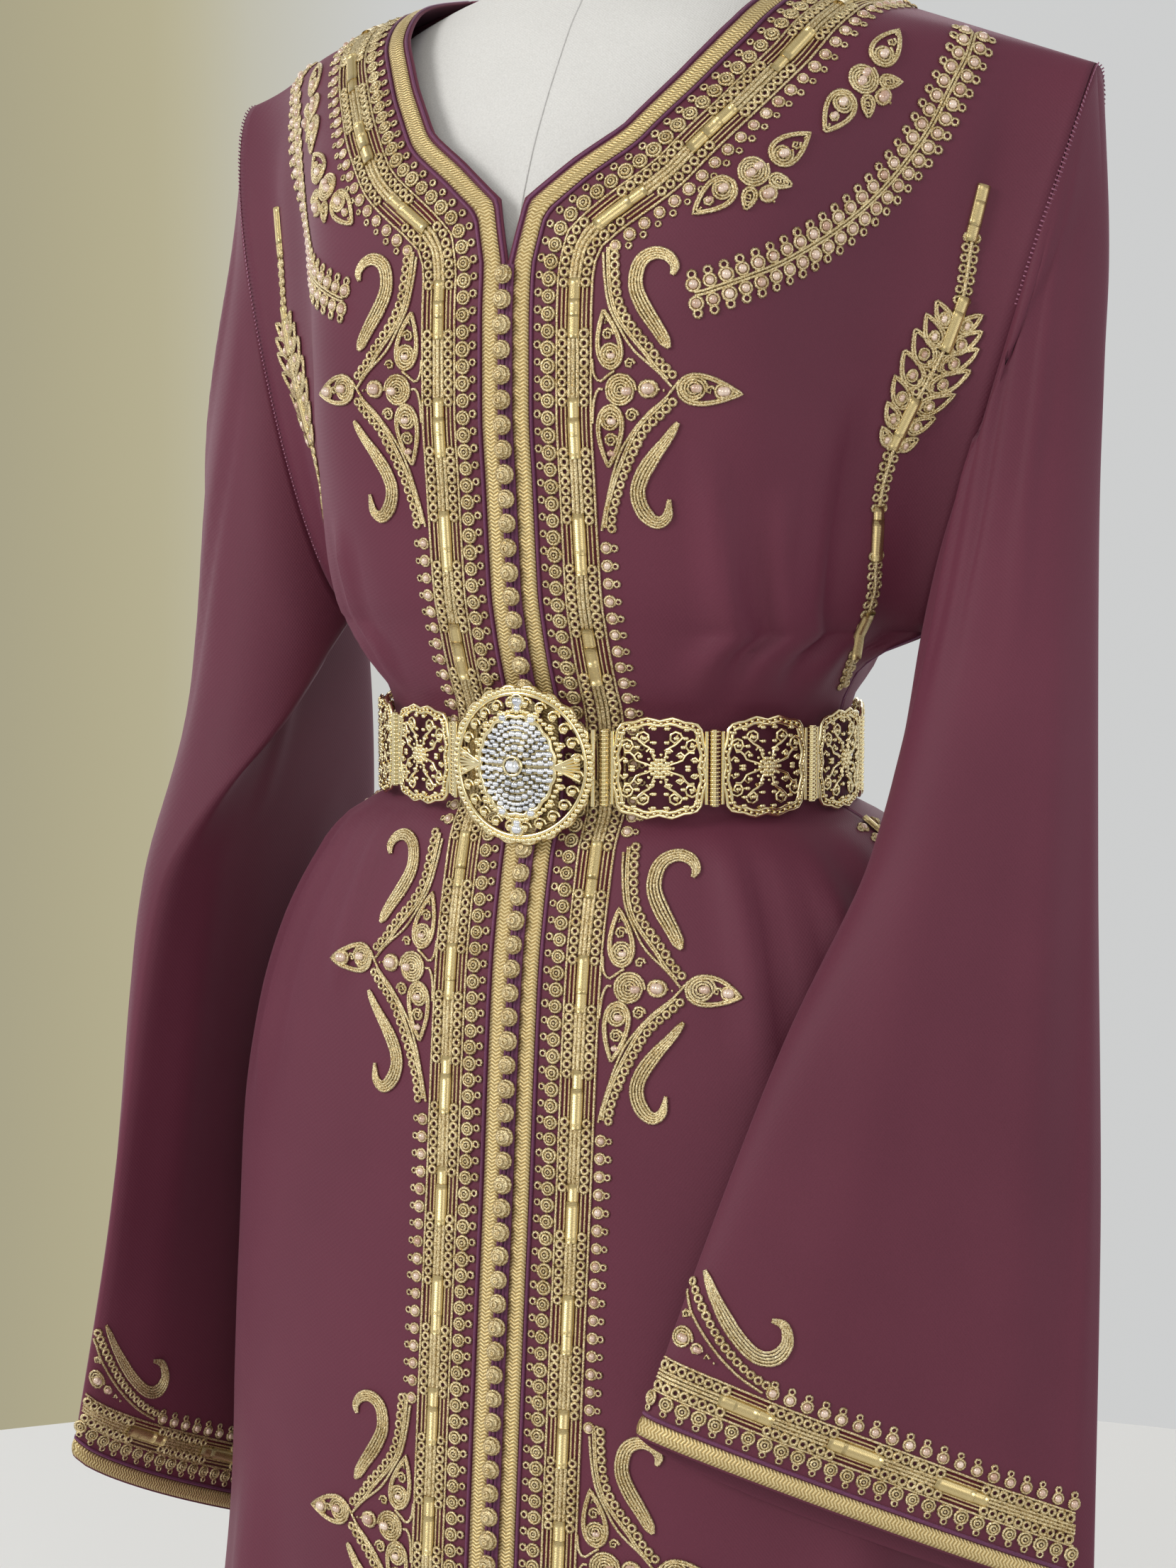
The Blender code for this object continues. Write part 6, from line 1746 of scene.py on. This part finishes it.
formRings = np.array([
    (0.76, 0.12, 0.085, 0.08, 0.0, 2.0), (0.768, 0.15, 0.106, 0.1, 0.0, 2.1), (0.84, 0.168, 0.118, 0.114, 0.0, 2.2),
    (0.9, 0.165, 0.117, 0.11, 0.002, 2.2), (0.96, 0.148, 0.11, 0.098, 0.008, 2.2),
    (1.0, 0.131, 0.104, 0.086, 0.014, 2.1), (1.04, 0.121, 0.104, 0.077, 0.017, 2.1),
    (1.09, 0.127, 0.114, 0.081, 0.022, 2.1), (1.15, 0.137, 0.13, 0.09, 0.032, 2.4),
    (1.21, 0.138, 0.138, 0.098, 0.042, 3.0), (1.265, 0.139, 0.14, 0.102, 0.044, 3.1),
    (1.315, 0.143, 0.1345, 0.103, 0.038, 2.9), (1.35, 0.15, 0.122, 0.098, 0.028, 2.6),
    (1.38, 0.156, 0.106, 0.09, 0.018, 2.4), (1.405, 0.154, 0.09, 0.08, 0.006, 2.2),
    (1.425, 0.138, 0.076, 0.068, 0.0, 2.1), (1.44, 0.112, 0.063, 0.06, -0.002, 2.0),
    (1.452, 0.08, 0.056, 0.058, -0.004, 2.0), (1.466, 0.062, 0.052, 0.058, -0.004, 2.0),
    (1.5, 0.056, 0.05, 0.056, -0.004, 2.0), (1.535, 0.055, 0.049, 0.056, -0.004, 2.0)])
form = {"around": 72, "between": 4}


def formRow(ring, scale=1.0, up=0.0):
    z, half, front, back, shift, full = ring
    row = []
    for k in range(form["around"]):
        a = 2 * pi * k / form["around"]
        sine, cosine = sin(a), cos(a)
        depth = (front - shift if cosine > 0 else back + shift) * scale
        row.append((half * scale * math.copysign(abs(sine) ** (2 / full), sine),
                -shift - depth * math.copysign(abs(cosine) ** (2 / full), cosine), z + up))
    return row


def loftRows(name, rows, material):
    around = len(rows[0])
    points = [p for row in rows for p in row]
    faces = gridFaces(len(rows), around, False, True)
    faces += [tuple(reversed(range(around))), tuple(range((len(rows) - 1) * around, len(rows) * around))]
    thing = makeObject(name, points, faces, material)
    thing.data.set_sharp_from_angle(angle=radians(50))
    return thing


def buildForm():
    stops = np.linspace(0, len(formRings) - 1, (len(formRings) - 1) * form["between"] + 1)
    torso = loftRows("formTorso", [formRow(blendRows(formRings, s)) for s in stops], linen)
    finishPiece(torso, "form_linen", "form_torso")
    top = formRings[-1]
    cap = loftRows("formCap", [formRow(top, scale, up) for scale, up in (
        (1.0, 0.0003), (1.025, 0.001), (1.03, 0.0025), (1.03, 0.0085), (1.015, 0.0105), (0.97, 0.0118),
        (0.9, 0.012))], wood)
    finishPiece(cap, "form_wood", "form_cap")
    for name in ("form_post", "form_base"):
        coatNode(name, steel)
    front = [formRow(blendRows(formRings, s))[0] for s in stops]
    seamPoints = [tuple(np.array(p) - np.array([0, 0.0002, 0])) for p in front]
    seam = runTree("formSeam", cordAlongPath, [seamPoints], Radius=0.0006, Step=0.006, Sides=5, Material=linen)
    finishPiece(seam, "form_linen")


def surfaceArea(name):  # one side of a cloth piece, in square metres
    points, faces, _ = outerSkins[name]
    points = np.array(points)
    corners = points[np.array([face for face in faces if len(face) == 4])]
    halves = np.cross(corners[:, 1] - corners[:, 0], corners[:, 2] - corners[:, 0]), \
        np.cross(corners[:, 2] - corners[:, 0], corners[:, 3] - corners[:, 0])
    return float(sum(norm(half, axis=1).sum() for half in halves) / 2)


def finishWork(tag):  # joins the sewn-on units and cords of one side of the garment
    for kind, slot in (("gold", "gold_cord"), ("pearl", "gold_cord"), ("plum", "crepe"), ("satin", "gold_cord")):
        piece = joinMeshes(kind + "Work" + tag, parts[kind])
        parts[kind] = []
        finishPiece(piece, slot)
        print("stage: sewn on", piece.name, sum(len(p.vertices) - 2 for p in piece.data.polygons), "triangles")


for side, tag in ((1, "Left"), (-1, "Right")):
    buildBand(tag)
    finishWork("Band" + tag)
    buildMotifs(side, tag)
    buildSide(side, tag)
    buildCuff(side, tag)
    buildSeams(tag)
    if side < 0:
        buildButtons()
        buildNeckBraid()
    finishWork(tag)
buildPlates()
buildBuckle()
print("stage: belt built")
buildForm()
print("stage: dress form built")
for name, (flat, rests, held) in cuts.items():
    surfaceArea(name)
    print("stage: sheet", name, round(surfaceArea(name), 4))
for spare in spares:
    bpy.data.objects.remove(spare)
